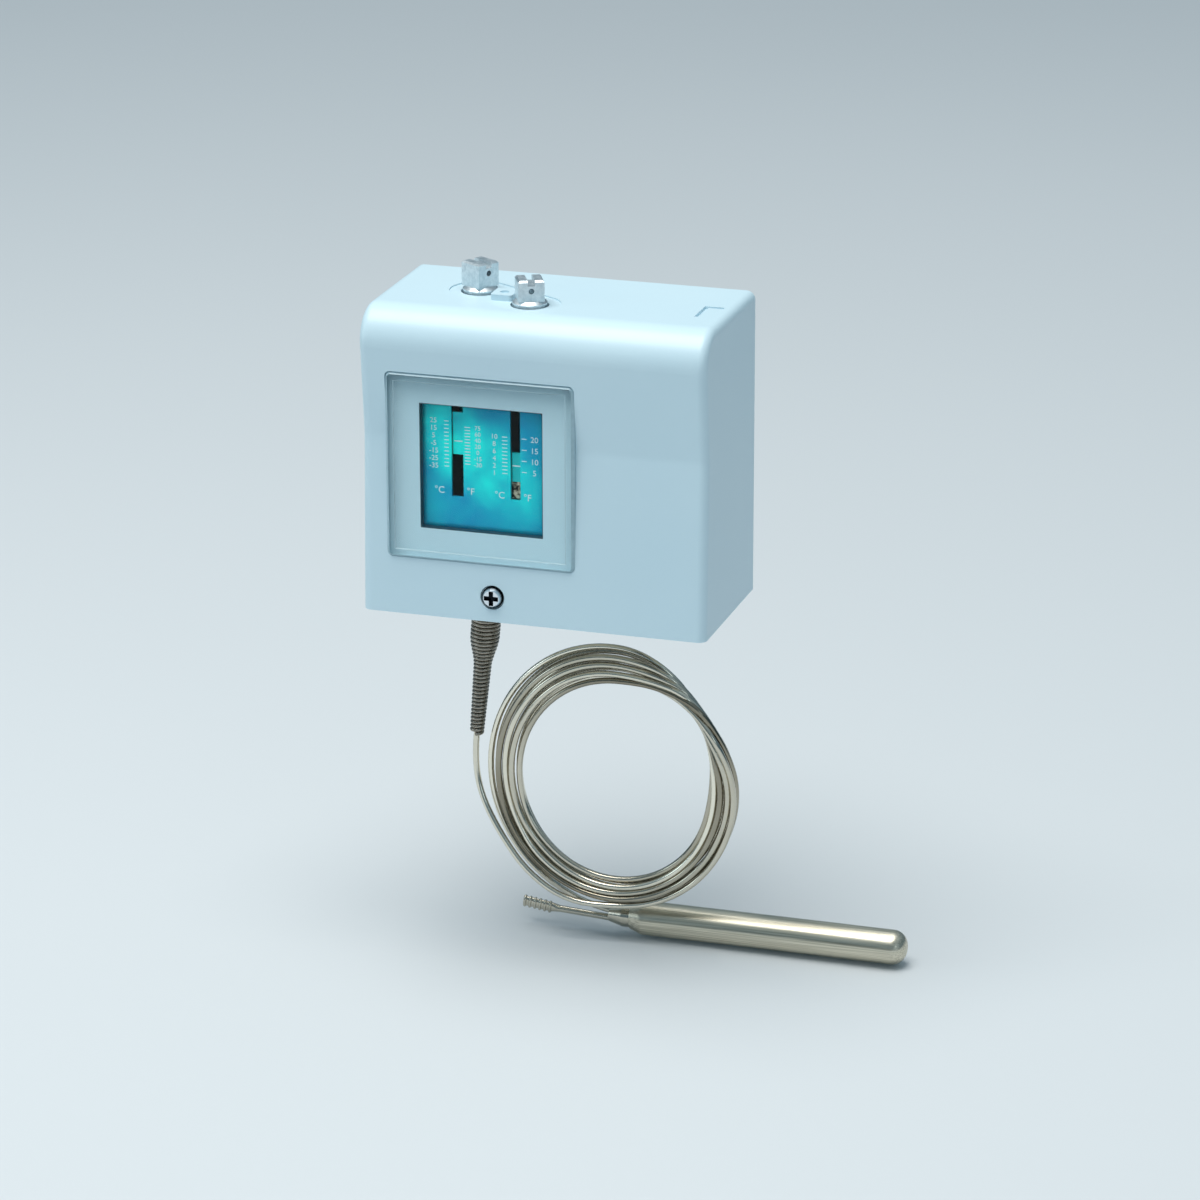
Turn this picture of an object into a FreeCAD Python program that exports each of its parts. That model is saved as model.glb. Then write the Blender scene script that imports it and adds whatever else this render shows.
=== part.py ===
import FreeCAD, Part
import math
import os

# Refrigeration thermostat with a remote bulb: a moulded hood over a folded steel frame, two square-headed
# setting spindles on top, a scale behind a clear window, and a coiled capillary that ends in a sensing bulb.
# Millimetres. X to the right, Y towards the wall, Z up. The origin is the centre of the frame's back face.

os.makedirs("parts", exist_ok=True)
V = FreeCAD.Vector
UP = V(0, 0, 1)
BACK = V(0, 1, 0)
RIGHT = V(1, 0, 0)

# Fits
running_gap = 0.05
side_gap = 0.3
press_gap = 0.02
thrust_gap = 0.1
cut_over = 1.0

# Hood: a one-piece moulding, open below and behind, with a front that is slightly hollow at the waist
body_width = 100.0
body_height = 87.6
foot_depth = 49.1
waist_hollow = 2.0
brow_overhang = 1.5
waist_height = 51.0
waist_radius = 12.0
brow_radius = 10.0
side_radius = 2.5
hood_wall = 2.4
hood_wall_gap = 0.4
spindle_hole_radius = 5.4
recess_radius = 8.7
recess_depth = 0.4
block_width = 6.3
block_length = 7.2
block_height = 1.3
block_corner = 1.0
dimple_radius = 1.3
dimple_depth = 0.6
groove_width = 1.4
groove_depth = 0.8
groove_from_side = 8.9
groove_from_front = 20.2
groove_length = 10.8
groove_foot = 4.2

# Window and its seat in the hood
window_from_side = 7.45
window_from_foot = 16.4
window_from_top = 17.4
window_width = 54.9
window_corner = 1.7
window_bevel = 0.8
window_thickness = 2.5
window_sink = 0.5
window_seat_wall = 2.0
window_seat_border = 3.5
opening_side_border = 9.7
opening_end_border = 8.95
opening_corner = 0.8

# Cover screw
screw_from_side = 38.3
screw_rise = 7.1
screw_head_radius = 3.1
screw_head_height = 2.4
screw_shank_radius = 2.0
screw_length = 9.0
screw_well_radius = 3.5
screw_well_depth = 1.2
screw_hole_gap = 0.25
recess_arm_length = 4.2
recess_arm_width = 1.3
recess_arm_depth = 1.2

# Frame: one folded sheet with a back, a top and a bottom
frame_sheet = 2.0
frame_side_gap = 0.7
frame_bend = 1.0
frame_lift = 0.5
frame_top_gap = 0.6
frame_brow_reach = 0.9
tab_width = 12.0
tab_over = 4.4
fixing_from_side = 12.0
fixing_from_edge = 9.8
fixing_radius = 2.5

# Setting spindles
range_from_side = 26.2
range_depth = 21.0
range_turn = 60.0
spindle_spread_x = 17.7
differential_behind_plate = 13.5
differential_turn = 26.0
head_side = 7.3
range_head_height = 7.0
differential_head_height = 6.0
head_chamfer = 0.5
head_slot_width = 2.0
head_slot_depth = 1.6
seal_hole_radius = 0.8
seal_hole_drop = 3.0
flange_radius = 4.9
flange_shoulder_radius = 4.0
flange_height = 1.2
flange_lift = 0.1
spindle_radius = 3.0
range_end_below_collar = 8.5
differential_end_below_collar = 4.0
end_chamfer = 0.6
bush_radius = 4.5
bush_collar_radius = 4.8
bush_tail = 1.0
clip_radius = 4.7
clip_thickness = 0.6
clip_groove = 0.4
clip_mouth = 3.0

# Scale plate, folded back under the top of the frame
plate_sheet = 0.8
plate_gap = 0.4
plate_left_margin = 10.8
plate_right_margin = 10.5
plate_below_opening = 5.4
plate_lap = 3.9
plate_bend = 0.6
plate_screw_head_radius = 2.6
plate_screw_head_height = 1.6
plate_screw_radius = 1.5
plate_screw_spread = 30.0
range_slot_shift = 1.0
range_slot_width = 3.5
range_slot_over_opening = 9.0
differential_slot_shift = 0.2
differential_slot_width = 2.9
differential_slot_over_opening = 9.5
slot_past_opening = 2.7

# Pointers: a collar on the spindle's thread, an arm and a flag behind the scale plate
collar_radius = 6.0
collar_height = 5.0
arm_thickness = 1.0
flag_thickness = 0.8
flag_side_gap = 0.15
range_flag_below_slot = 5.4
range_flag_length = 12.2
range_arm_below_flag = 3.6
range_collar_below_arm = 2.5
differential_flag_over_slot = 0.2
differential_flag_length = 13.2
differential_arm_over_flag = 0.5
differential_collar_below_arm = 3.6

# Main lever on its pin, with a pip inside each spring
lever_sheet = 2.0
lever_rise = 20.0
lever_pivot_from_side = 2.9
lever_pivot_rise = 17.0
lever_width = 14.0
lever_corner = 1.5
lever_past_plunger = 4.0
lever_tip_width = 10.0
ear_sheet = 1.5
ear_half_width = 2.2
pivot_radius = 1.5
pip_height = 1.5
pip_gap = 0.7
bracket_sheet = 1.5
bracket_half_width = 2.4
bracket_head = 2.6

# Springs
range_spring_radius = 5.2
range_wire_radius = 0.7
range_spring_turns = 8
differential_spring_radius = 4.6
differential_wire_radius = 0.5
differential_spring_turns = 3
wire_flats = 8

# Bellows with its soldered base and thrust pad
base_radius = 13.0
base_height = 2.5
bellows_outer_radius = 10.0
bellows_inner_radius = 7.6
bellows_wall = 0.4
bellows_land = 0.5
bellows_waves = 5
bellows_height = 11.0
pad_radius = 9.0
pad_height = 1.4
stem_radius = 3.0
stem_dome = 0.5

# Switch block at the right, with its plunger, contact arm and terminals
switch_from_side = 2.9
switch_width = 26.0
switch_behind_foot = 13.1
switch_low_rise = 26.0
switch_height = 36.0
switch_wall = 2.5
chamber_height = 18.0
chamber_back_wall = 10.0
block_edge_radius = 1.0
plunger_from_left = 8.5
plunger_behind_front = 12.0
plunger_radius = 2.0
plunger_lift = 0.2
plunger_rounding = 1.6
arm_pin_from_right = 6.0
arm_pin_rise = 38.0
arm_pin_radius = 1.0
arm_hub_radius = 2.2
arm_width = 6.0
arm_sheet = 1.0
contact_from_wall = 2.1
arm_past_contact = 1.4
contact_radius = 1.4
contact_button = 0.8
contact_travel = 2.3
fixed_strip = 1.0
terminal_count = 3
terminal_pitch = 8.0
terminal_width = 6.6
terminal_height = 7.6
terminal_length = 8.0
terminal_rise = 54.5
terminal_gap = 0.2
terminal_screw_radius = 1.6
terminal_screw_head_radius = 2.6
terminal_screw_head_height = 2.2
lug_width = 12.0
lug_height = 6.0
lug_thickness = 4.0
switch_screw_radius = 1.5
switch_screw_head_radius = 2.8
switch_screw_head_height = 1.8

# Earth screw on the frame's back
earth_from_differential = 14.0
earth_rise = 11.0

# Cable grommet in the frame's bottom
grommet_from_side = 20.0
grommet_behind_foot = 13.1
grommet_hole_radius = 7.5
grommet_flange_radius = 9.0
grommet_flange = 1.4
grommet_bore_radius = 4.5

# Capillary, held in its anti-kink spring down to the spring's lower end
capillary_radius = 0.9
lead_first_run = 7.4
inlet_from_range = 1.5
inlet_drop = 6.0
spring_lean = 3.9
spring_end_drop = 44.3
nipple_radius = 2.5
nipple_hole_gap = 0.5
nipple_seat = 1.6
kink_wire = 1.1
kink_pitch = 1.27
kink_mouth_radius = 4.3
kink_mouth_length = 16.0
kink_taper_length = 7.0

# Coil of the capillary: an upright oval ring under the housing
coil_x = 15.1
coil_drop = 53.9
coil_half_width = 37.9
coil_half_height = 40.8
coil_eye_half_width = 27.1
coil_eye_half_height = 28.5
coil_depth = 21.0
coil_thickness = 4.8
coil_edge = 1.6

# Sensing bulb behind the foot of the coil, with its end plug and pinched filling tube
bulb_radius = 5.0
bulb_left = 18.0
bulb_right = 100.0
bulb_nose = 4.2
bulb_neck_radius = 3.7
bulb_shoulder = 3.5
bulb_shoulder_blend = 4.0
bulb_depth = 13.2
bulb_drop = 99.2
plug_collar_radius = 3.3
plug_collar = 2.6
plug_tip_radius = 2.2
plug_length = 6.6
plug_spread = 1.15
filling_radius = 1.0
filling_x = -5.2
filling_drop = 99.4
filling_tip_x = -14.7
filling_tip_drop = 98.2
pinch_half_width = 1.5
pinch_half_thickness = 0.7
pinch_step = 1.5

# Values worked out from the above
lower_edge = -body_height / 2
upper_edge = body_height / 2
left_side = -body_width / 2
right_side = body_width / 2
waist_depth = foot_depth - waist_hollow
brow_depth = foot_depth + brow_overhang
window_x = left_side + window_from_side + window_width / 2
window_height = body_height - window_from_foot - window_from_top
window_rise = window_from_foot + window_height / 2
window_seat_depth = waist_depth - window_sink
opening_low = lower_edge + window_from_foot + opening_end_border
opening_high = upper_edge - window_from_top - opening_end_border
screw_x = left_side + screw_from_side
frame_low = lower_edge + frame_lift
frame_high = upper_edge - hood_wall - frame_top_gap
frame_half_width = body_width / 2 - hood_wall - frame_side_gap
floor_top = frame_low + frame_sheet
ceiling = frame_high - frame_sheet
frame_top_depth = brow_depth - brow_radius + frame_brow_reach
plate_front = -(window_seat_depth - window_seat_wall - plate_gap)
plate_tail = -frame_top_depth + plate_lap
flag_front = plate_front + plate_sheet + side_gap
range_x = left_side + range_from_side
differential_x = range_x + spindle_spread_x
range_axis = V(range_x, -range_depth, 0)
differential_axis = V(differential_x, plate_front + differential_behind_plate, 0)
range_slot_x = range_x + range_slot_shift
differential_slot_x = differential_x + differential_slot_shift
range_slot_low = opening_low + range_slot_over_opening
differential_slot_low = opening_low + differential_slot_over_opening
slot_high = opening_high + slot_past_opening
range_flag_high = slot_high - range_flag_below_slot
range_arm_low = range_flag_high - range_arm_below_flag
range_collar_low = range_arm_low - range_collar_below_arm
differential_flag_low = differential_slot_low + differential_flag_over_slot
differential_arm_low = differential_flag_low + differential_arm_over_flag
differential_collar_low = differential_arm_low - differential_collar_below_arm
lever_low = lower_edge + lever_rise
lever_top = lever_low + lever_sheet
lever_pivot_x = -frame_half_width + lever_pivot_from_side
switch_right = frame_half_width - switch_from_side
switch_left = switch_right - switch_width
switch_depth = foot_depth - switch_behind_foot
plunger_x = switch_left + plunger_from_left
plunger_depth = switch_depth - plunger_behind_front
arm_pin_x = switch_right - arm_pin_from_right
contact_x = switch_left + switch_wall + contact_from_wall
earth_x = differential_x + earth_from_differential
grommet_x = right_side - grommet_from_side
grommet_depth = foot_depth - grommet_behind_foot


def box(low, high):
    """A block between two opposite corners."""
    size = high - low
    return Part.makeBox(size.x, size.y, size.z, low)


def rod(start, end, radius):
    """A round bar from one point to another."""
    run = end - start
    return Part.makeCylinder(radius, run.Length, start, run)


def upright(axis, low, high, radius):
    """A vertical round bar on a spindle's axis."""
    return rod(V(axis.x, axis.y, low), V(axis.x, axis.y, high), radius)


def outline(corners, radii):
    """A closed flat outline of straight edges, with each corner rounded by its own radius."""
    count = len(corners)
    stretches = []
    for i, radius in enumerate(radii):
        corner = corners[i]
        before = (corners[i - 1] - corner).normalize()
        after = (corners[(i + 1) % count] - corner).normalize()
        half = before.getAngle(after) / 2
        back_off = radius / math.tan(half)
        middle = (before + after).normalize() if radius else V()
        bulge = radius / math.sin(half) - radius
        stretches.append((corner + before * back_off, corner + middle * bulge, corner + after * back_off))
    edges = []
    for i, (start, top, end) in enumerate(stretches):
        if radii[i]:
            edges.append(Part.Arc(start, top, end).toShape())
        edges.append(Part.LineSegment(end, stretches[(i + 1) % count][0]).toShape())
    return Part.Wire(edges)


def plate(corners, radii, run):
    """A flat plate with rounded corners."""
    return Part.Face(outline(corners, radii)).extrude(run)


def sheet_section(points, radii, half_width):
    """A section in the YZ plane, carried across the width."""
    corners = [V(-half_width, y, z) for y, z in points]
    return plate(corners, radii, RIGHT * (2 * half_width))


def front_panel(x, z, width, height, corner, front, back):
    """A rounded rectangle that faces the front."""
    low = V(x - width / 2, front, z - height / 2)
    corners = [low, low + V(width, 0, 0), low + V(width, 0, height), low + V(0, 0, height)]
    return plate(corners, [corner] * 4, BACK * (back - front))


def turned(points, start, direction):
    """A turned body: straight-sided section points (radius, distance along the axis)."""
    section = Part.makePolygon([V(r, 0, h) for r, h in points] + [V(points[0][0], 0, points[0][1])])
    body = Part.Face(section).revolve(V(), UP, 360)
    body.Placement = FreeCAD.Placement(start, FreeCAD.Rotation(UP, direction))
    return body


def save(node, shape):
    """Write one sub-part."""
    solids = shape.Solids
    kept = solids[0] if len(solids) == 1 else Part.makeCompound(solids)
    kept.exportStep("parts/" + node + ".step")
    print(node, len(solids), round(sum(s.Volume for s in solids), 1), kept.isValid())
    return kept


def front_face_depth(z):
    """Depth of the hood's front face at a height, on the straight part below the brow."""
    rise = z - lower_edge
    if rise < waist_height:
        return foot_depth + (waist_depth - foot_depth) * rise / waist_height
    return waist_depth + (brow_depth - waist_depth) * (rise - waist_height) / (body_height - waist_height)


def hood_section(wall, drop):
    """The hood's side section, drawn inwards by the wall and carried past its open bottom and back by the drop."""
    return [(-hood_wall_gap + drop, lower_edge - drop), (-foot_depth + wall, lower_edge - drop),
            (-waist_depth + wall, lower_edge + waist_height), (-brow_depth + wall, upper_edge - wall),
            (-hood_wall_gap + drop, upper_edge - wall)]


def spindle_recess():
    """Shallow oval sink that takes in both spindle holes."""
    along = (differential_axis - range_axis).normalize()
    across = UP.cross(along) * recess_radius
    floor = UP * (upper_edge - recess_depth)
    low = range_axis - across + floor
    high = range_axis + across + floor
    far_high = differential_axis + across + floor
    far_low = differential_axis - across + floor
    far_end = differential_axis + along * recess_radius + floor
    near_end = range_axis - along * recess_radius + floor
    edges = [Part.LineSegment(low, far_low), Part.Arc(far_low, far_end, far_high),
             Part.LineSegment(far_high, high), Part.Arc(high, near_end, low)]
    return Part.Face(Part.Wire([e.toShape() for e in edges])).extrude(UP * cut_over)


def seal_block():
    """Small block between the spindles, with a dimple for the locking plate's screw."""
    middle = (range_axis + differential_axis) / 2 + UP * (upper_edge - recess_depth)
    low = middle - V(block_width / 2, block_length / 2, 0)
    corners = [low, low + V(block_width, 0, 0), low + V(block_width, block_length, 0), low + V(0, block_length, 0)]
    block = plate(corners, [block_corner] * 4, UP * (block_height + recess_depth))
    top = middle + UP * (block_height + recess_depth)
    return block.cut(rod(top - UP * dimple_depth, top + UP * cut_over, dimple_radius))


def corner_groove():
    """L-shaped groove near the right-hand end of the top."""
    x = right_side - groove_from_side
    y = -brow_depth + groove_from_front
    floor = upper_edge - groove_depth
    low = V(x, y, floor)
    leg = box(low, low + V(groove_width, groove_length, groove_depth + cut_over))
    foot_low = low + V(0, groove_length - groove_width, 0)
    return leg.fuse(box(foot_low, foot_low + V(groove_foot + groove_width, groove_width, groove_depth + cut_over)))


def hood():
    """The hood, from its side section to its last cut."""
    half = body_width / 2
    shell = sheet_section(hood_section(0, 0), [0, 0, waist_radius, brow_radius, 0], half)
    long_edges = [e for e in shell.Edges
                  if all(abs(abs(v.X) - half) < 1e-6 for v in e.Vertexes)
                  and e.CenterOfMass.y < -hood_wall_gap - 1 and e.CenterOfMass.z > lower_edge + 1]
    shell = shell.makeFillet(side_radius, long_edges)
    body = shell.cut(sheet_section(hood_section(hood_wall, cut_over),
                                   [0, 0, waist_radius + hood_wall, brow_radius - hood_wall, 0], half - hood_wall))
    window_z = lower_edge + window_rise
    seat = front_panel(window_x, window_z, window_width + 2 * window_seat_border,
                       window_height + 2 * window_seat_border, window_corner,
                       -brow_depth, -window_seat_depth + window_seat_wall)
    body = body.fuse(seat.common(shell))
    body = body.cut(front_panel(window_x, window_z, window_width + 2 * press_gap, window_height + 2 * press_gap,
                                window_corner, -brow_depth - cut_over, -window_seat_depth))
    body = body.cut(front_panel(window_x, window_z, window_width - 2 * opening_side_border, opening_high - opening_low,
                                opening_corner, -window_seat_depth - cut_over,
                                -window_seat_depth + window_seat_wall + cut_over))
    body = body.cut(spindle_recess())
    body = body.fuse(seal_block())
    for axis in (range_axis, differential_axis):
        body = body.cut(upright(axis, upper_edge - hood_wall - cut_over, upper_edge + block_height + cut_over,
                                spindle_hole_radius))
    body = body.cut(corner_groove())
    well = V(screw_x, -front_face_depth(lower_edge + screw_rise) + screw_well_depth, lower_edge + screw_rise)
    body = body.cut(rod(well, well - BACK * (screw_well_depth + cut_over), screw_well_radius))
    body = body.cut(rod(well - BACK * cut_over, well + BACK * (hood_wall + cut_over),
                        screw_shank_radius + screw_hole_gap))
    return body.removeSplitter()


def window():
    """Clear plate with a bevelled rim, seated in the hood."""
    front = -window_seat_depth - window_thickness
    body = front_panel(window_x, lower_edge + window_rise, window_width, window_height, window_corner,
                       front, -window_seat_depth)
    rim = [e for e in body.Edges if all(abs(v.Y - front) < 1e-6 for v in e.Vertexes)]
    return body.makeChamfer(window_bevel, rim)


def cross_recess(centre, inward, across, length, width, depth):
    """Cross-shaped driver recess, cut inwards from a head's top."""
    other = inward.cross(across)
    arms = []
    for along, aside in ((across, other), (other, across)):
        start = centre - along * (length / 2) - aside * (width / 2) - inward * cut_over
        corners = [start, start + along * length, start + along * length + aside * width, start + aside * width]
        arms.append(plate(corners, [0] * 4, inward * (depth + cut_over)))
    return arms[0].fuse(arms[1])


def pan_screw(seat, inward, head_radius, head_height, shank_radius, length, arm_length, arm_width, arm_depth):
    """Pan-head screw: the seat is the point on its axis under the head."""
    rounding = head_height / 3
    points = [(0, -head_height), (head_radius - rounding, -head_height), (head_radius, -head_height + 2 * rounding),
              (head_radius, 0), (shank_radius, 0), (shank_radius, length), (0, length)]
    body = turned(points, seat, inward)
    across = UP if abs(inward.z) < 0.5 else RIGHT
    return body.cut(cross_recess(seat - inward * head_height, inward, across, arm_length, arm_width, arm_depth))


def cover_screw():
    """Screw that holds the hood to the frame's tab."""
    seat = V(screw_x, -front_face_depth(lower_edge + screw_rise) + screw_well_depth, lower_edge + screw_rise)
    return pan_screw(seat, BACK, screw_head_radius, screw_head_height, screw_shank_radius, screw_length,
                     recess_arm_length, recess_arm_width, recess_arm_depth)


def capillary_line():
    """Start, end and direction of the capillary inside its spring."""
    start = V(range_x + inlet_from_range, -range_depth, lower_edge - inlet_drop)
    end = V(start.x - spring_lean, start.y, lower_edge - spring_end_drop)
    return start, end, (end - start).normalize()


def point_at_height(z):
    """Point of the capillary's line, carried up past the nipple, at a height."""
    start, _, along = capillary_line()
    return start + along * ((z - start.z) / along.z)


def plate_sides():
    """Left and right edges of the scale plate."""
    return range_x - plate_left_margin, differential_x + plate_right_margin


def plate_screw_places():
    """Points under the top of the frame where the scale plate is screwed up."""
    left, right = plate_sides()
    y = plate_tail - plate_lap / 2
    return [V((left + right + side * plate_screw_spread) / 2, y, ceiling - plate_sheet) for side in (-1, 1)]


def switch_screw_places():
    """Points on the front of the switch block's lugs."""
    low = V(switch_right - lug_width / 2, -frame_sheet - lug_thickness, lower_edge + switch_low_rise - lug_height / 2)
    high = V((switch_left + switch_right) / 2, low.y, lower_edge + switch_low_rise + switch_height + lug_height / 2)
    return [low, high]


def mounting_frame():
    """Folded frame with its tab and all its holes."""
    tab_top = lower_edge + screw_rise + tab_over
    front = -front_face_depth(tab_top) + hood_wall + side_gap
    points = [(-frame_top_depth, frame_high), (0, frame_high), (0, frame_low), (front, frame_low),
              (front, floor_top), (-frame_sheet, floor_top), (-frame_sheet, ceiling), (-frame_top_depth, ceiling)]
    outer = frame_bend + frame_sheet
    body = sheet_section(points, [0, outer, outer, 0, 0, frame_bend, frame_bend, 0], frame_half_width)
    body = body.fuse(box(V(screw_x - tab_width / 2, front, frame_low),
                         V(screw_x + tab_width / 2, front + frame_sheet, tab_top)))
    for x in (left_side + fixing_from_side, right_side - fixing_from_side):
        for z in (lower_edge + fixing_from_edge, upper_edge - fixing_from_edge):
            body = body.cut(rod(V(x, -frame_sheet - cut_over, z), V(x, cut_over, z), fixing_radius))
    for axis in (range_axis, differential_axis):
        body = body.cut(upright(axis, ceiling - cut_over, frame_high + cut_over, bush_radius + press_gap))
    for place in plate_screw_places():
        body = body.cut(rod(place, place + UP * (plate_sheet + frame_sheet + cut_over), plate_screw_radius + press_gap))
    for place in switch_screw_places() + [V(earth_x, -frame_sheet, lower_edge + earth_rise)]:
        radius = screw_shank_radius if place.x == earth_x else switch_screw_radius
        body = body.cut(rod(V(place.x, -frame_sheet - cut_over, place.z), V(place.x, cut_over, place.z),
                            radius + press_gap))
    tab_hole = V(screw_x, front - cut_over, lower_edge + screw_rise)
    body = body.cut(rod(tab_hole, tab_hole + BACK * (frame_sheet + 2 * cut_over), screw_shank_radius + press_gap))
    grommet_axis = V(grommet_x, -grommet_depth, 0)
    body = body.cut(upright(grommet_axis, frame_low - cut_over, floor_top + cut_over, grommet_hole_radius))
    nipple_axis = point_at_height(frame_low + frame_sheet / 2)
    body = body.cut(upright(nipple_axis, frame_low - cut_over, floor_top + cut_over, nipple_radius + nipple_hole_gap))
    return body.removeSplitter()


def spindle(axis, turn, end, head_height):
    """Square-headed setting spindle with a driver slot, a sealing hole, a flange and a clip groove."""
    foot = upper_edge + flange_lift
    head_low = foot + flange_height
    head_high = head_low + head_height
    half = head_side / 2
    head = box(V(-half, -half, head_low), V(half, half, head_high))
    head = head.makeChamfer(head_chamfer, [e for e in head.Edges if e.CenterOfMass.z > head_high - 1e-6])
    head = head.cut(box(V(-head_slot_width / 2, -head_side, head_high - head_slot_depth),
                        V(head_slot_width / 2, head_side, head_high + cut_over)))
    hole_z = head_high - seal_hole_drop
    head = head.cut(rod(V(0, -head_side, hole_z), V(0, head_side, hole_z), seal_hole_radius))
    clip_high = ceiling - bush_tail - thrust_gap
    clip_low = clip_high - clip_thickness
    neck = spindle_radius - clip_groove
    stem = turned([(0, end), (spindle_radius - end_chamfer, end), (spindle_radius, end + end_chamfer),
                   (spindle_radius, clip_low), (neck, clip_low), (neck, clip_high), (spindle_radius, clip_high),
                   (spindle_radius, foot), (flange_radius, foot), (flange_radius, foot + flange_height / 3),
                   (flange_shoulder_radius, head_low), (0, head_low)], V(), UP)
    body = stem.fuse(head)
    body.rotate(V(), UP, turn)
    body.translate(axis)
    return body.removeSplitter()


def spindle_clip(axis):
    """Open spring clip in a spindle's groove, under its bush."""
    high = ceiling - bush_tail - thrust_gap
    low = high - clip_thickness
    ring = upright(axis, low, high, clip_radius).cut(upright(axis, low, high, spindle_radius - clip_groove + press_gap))
    half = clip_mouth / 2
    mouth = box(V(axis.x - half, axis.y, low), V(axis.x + half, axis.y + clip_radius + cut_over, high))
    return ring.cut(mouth)


def spindle_bush(axis):
    """Collared bush pressed into the top of the frame; its collar rises through the hood's hole."""
    low = ceiling - bush_tail
    collar_high = upper_edge + flange_lift - thrust_gap
    bore = spindle_radius + running_gap
    return turned([(bore, low), (bush_radius, low), (bush_radius, frame_high), (bush_collar_radius, frame_high),
                   (bush_collar_radius, collar_high), (bore, collar_high)], axis, UP)


def scale_plate():
    """Scale plate with its two slots and its folded top."""
    low = opening_low - plate_below_opening
    back = plate_front + plate_sheet
    left, right = plate_sides()
    corners = [V(left, y, z) for y, z in (
        (plate_front, low), (plate_front, ceiling), (plate_tail, ceiling), (plate_tail, ceiling - plate_sheet),
        (back, ceiling - plate_sheet), (back, low))]
    body = plate(corners, [0, plate_bend + plate_sheet, 0, 0, plate_bend, 0], RIGHT * (right - left))
    slots = ((range_slot_x, range_slot_width, range_slot_low),
             (differential_slot_x, differential_slot_width, differential_slot_low))
    for x, width, slot_low in slots:
        body = body.cut(box(V(x - width / 2, plate_front - cut_over, slot_low),
                            V(x + width / 2, back + cut_over, slot_high)))
    for place in plate_screw_places():
        body = body.cut(rod(place - UP * cut_over, place + UP * (plate_sheet + cut_over),
                            plate_screw_radius + side_gap))
    return body


def plate_screws():
    """Screws that hold the scale plate up against the frame."""
    return Part.makeCompound([
        pan_screw(place, UP, plate_screw_head_radius, plate_screw_head_height, plate_screw_radius,
                  plate_sheet + frame_sheet, plate_screw_head_radius, plate_screw_radius / 2,
                  plate_screw_head_height / 2)
        for place in plate_screw_places()])


def pointer(axis, low, arm_low, flag_x, slot_width, flag_low, flag_high):
    """Threaded collar with an arm to the flag that shows behind the scale plate's slot."""
    high = low + collar_height
    body = upright(axis, low, high, collar_radius)
    half = slot_width / 2 - flag_side_gap
    body = body.fuse(box(V(flag_x - half, flag_front, arm_low), V(flag_x + half, axis.y, arm_low + arm_thickness)))
    body = body.fuse(box(V(flag_x - half, flag_front, flag_low),
                         V(flag_x + half, flag_front + flag_thickness, flag_high)))
    return body.cut(upright(axis, low - cut_over, high + cut_over, spindle_radius + running_gap)).removeSplitter()


def coil_spring(axis, low, high, radius, wire, turns):
    """Compression spring between two seats, its wire drawn with flats."""
    first = low + thrust_gap + wire
    last = high - thrust_gap - wire
    helix = Part.makeHelix((last - first) / turns, last - first, radius)
    step = 2 * math.pi / wire_flats
    corners = [V(radius + wire * math.cos(i * step), 0, wire * math.sin(i * step)) for i in range(wire_flats)]
    section = Part.makePolygon(corners + corners[:1])
    body = Part.Wire(helix.Edges).makePipeShell([section], True, True)
    body.translate(V(axis.x, axis.y, first))
    return body


def spring_pip(axis, spring_radius, wire):
    """Raised disc on the lever that centres a spring."""
    return upright(axis, lever_top, lever_top + pip_height, spring_radius - wire - pip_gap)


def main_lever():
    """Flat lever over the bellows, with ears for its pin and a pip for each spring."""
    left = lever_pivot_x - ear_half_width
    back = -range_depth + lever_width / 2
    front = -range_depth - lever_width / 2
    tip_front = -plunger_depth - lever_tip_width / 2
    reach = differential_spring_radius + differential_wire_radius + lever_corner
    lobe_front = differential_axis.y - reach
    lever_tip_x = plunger_x + lever_past_plunger
    corners = [V(left, front, lever_low), V(differential_x - 2 * reach, front, lever_low),
               V(differential_x - reach, lobe_front, lever_low), V(differential_x + reach, lobe_front, lever_low),
               V(differential_x + 2 * reach, tip_front, lever_low), V(lever_tip_x, tip_front, lever_low),
               V(lever_tip_x, tip_front + lever_tip_width, lever_low),
               V(differential_x + 2 * reach, tip_front + lever_tip_width, lever_low),
               V(differential_x, back, lever_low), V(left, back, lever_low)]
    body = plate(corners, [lever_corner] * len(corners), UP * lever_sheet)
    for y in (front, back - ear_sheet):
        body = body.fuse(box(V(left, y, lower_edge + lever_pivot_rise - ear_half_width - pivot_radius),
                             V(left + 2 * ear_half_width, y + ear_sheet, lever_top)))
    body = body.cut(lever_pin_rod(pivot_radius + running_gap, cut_over))
    body = body.fuse(spring_pip(range_axis, range_spring_radius, range_wire_radius))
    return body.fuse(spring_pip(differential_axis, differential_spring_radius, differential_wire_radius))


def bracket_faces():
    """Front and back planes of the pivot bracket's outer faces."""
    reach = lever_width / 2 + side_gap + bracket_sheet
    return -range_depth - reach, -range_depth + reach


def lever_pin_rod(radius, extra):
    """The lever's pin, or the hole for it."""
    front, back = bracket_faces()
    z = lower_edge + lever_pivot_rise
    return rod(V(lever_pivot_x, front - extra, z), V(lever_pivot_x, back + extra, z), radius)


def pivot_bracket():
    """U-shaped bracket on the floor of the frame."""
    front, back = bracket_faces()
    left = lever_pivot_x - bracket_half_width
    right = lever_pivot_x + bracket_half_width
    top = lower_edge + lever_pivot_rise + bracket_head
    body = box(V(left, front, floor_top), V(right, back, top))
    body = body.cut(box(V(left - cut_over, front + bracket_sheet, floor_top + bracket_sheet),
                        V(right + cut_over, back - bracket_sheet, top + cut_over)))
    return body.cut(lever_pin_rod(pivot_radius + press_gap, cut_over))


def nipple_and_line():
    """Nipple on the capillary's line, from the bellows base to its lower face."""
    start, _, _ = capillary_line()
    top = point_at_height(floor_top + nipple_seat)
    return rod(top, start, nipple_radius)


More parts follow.
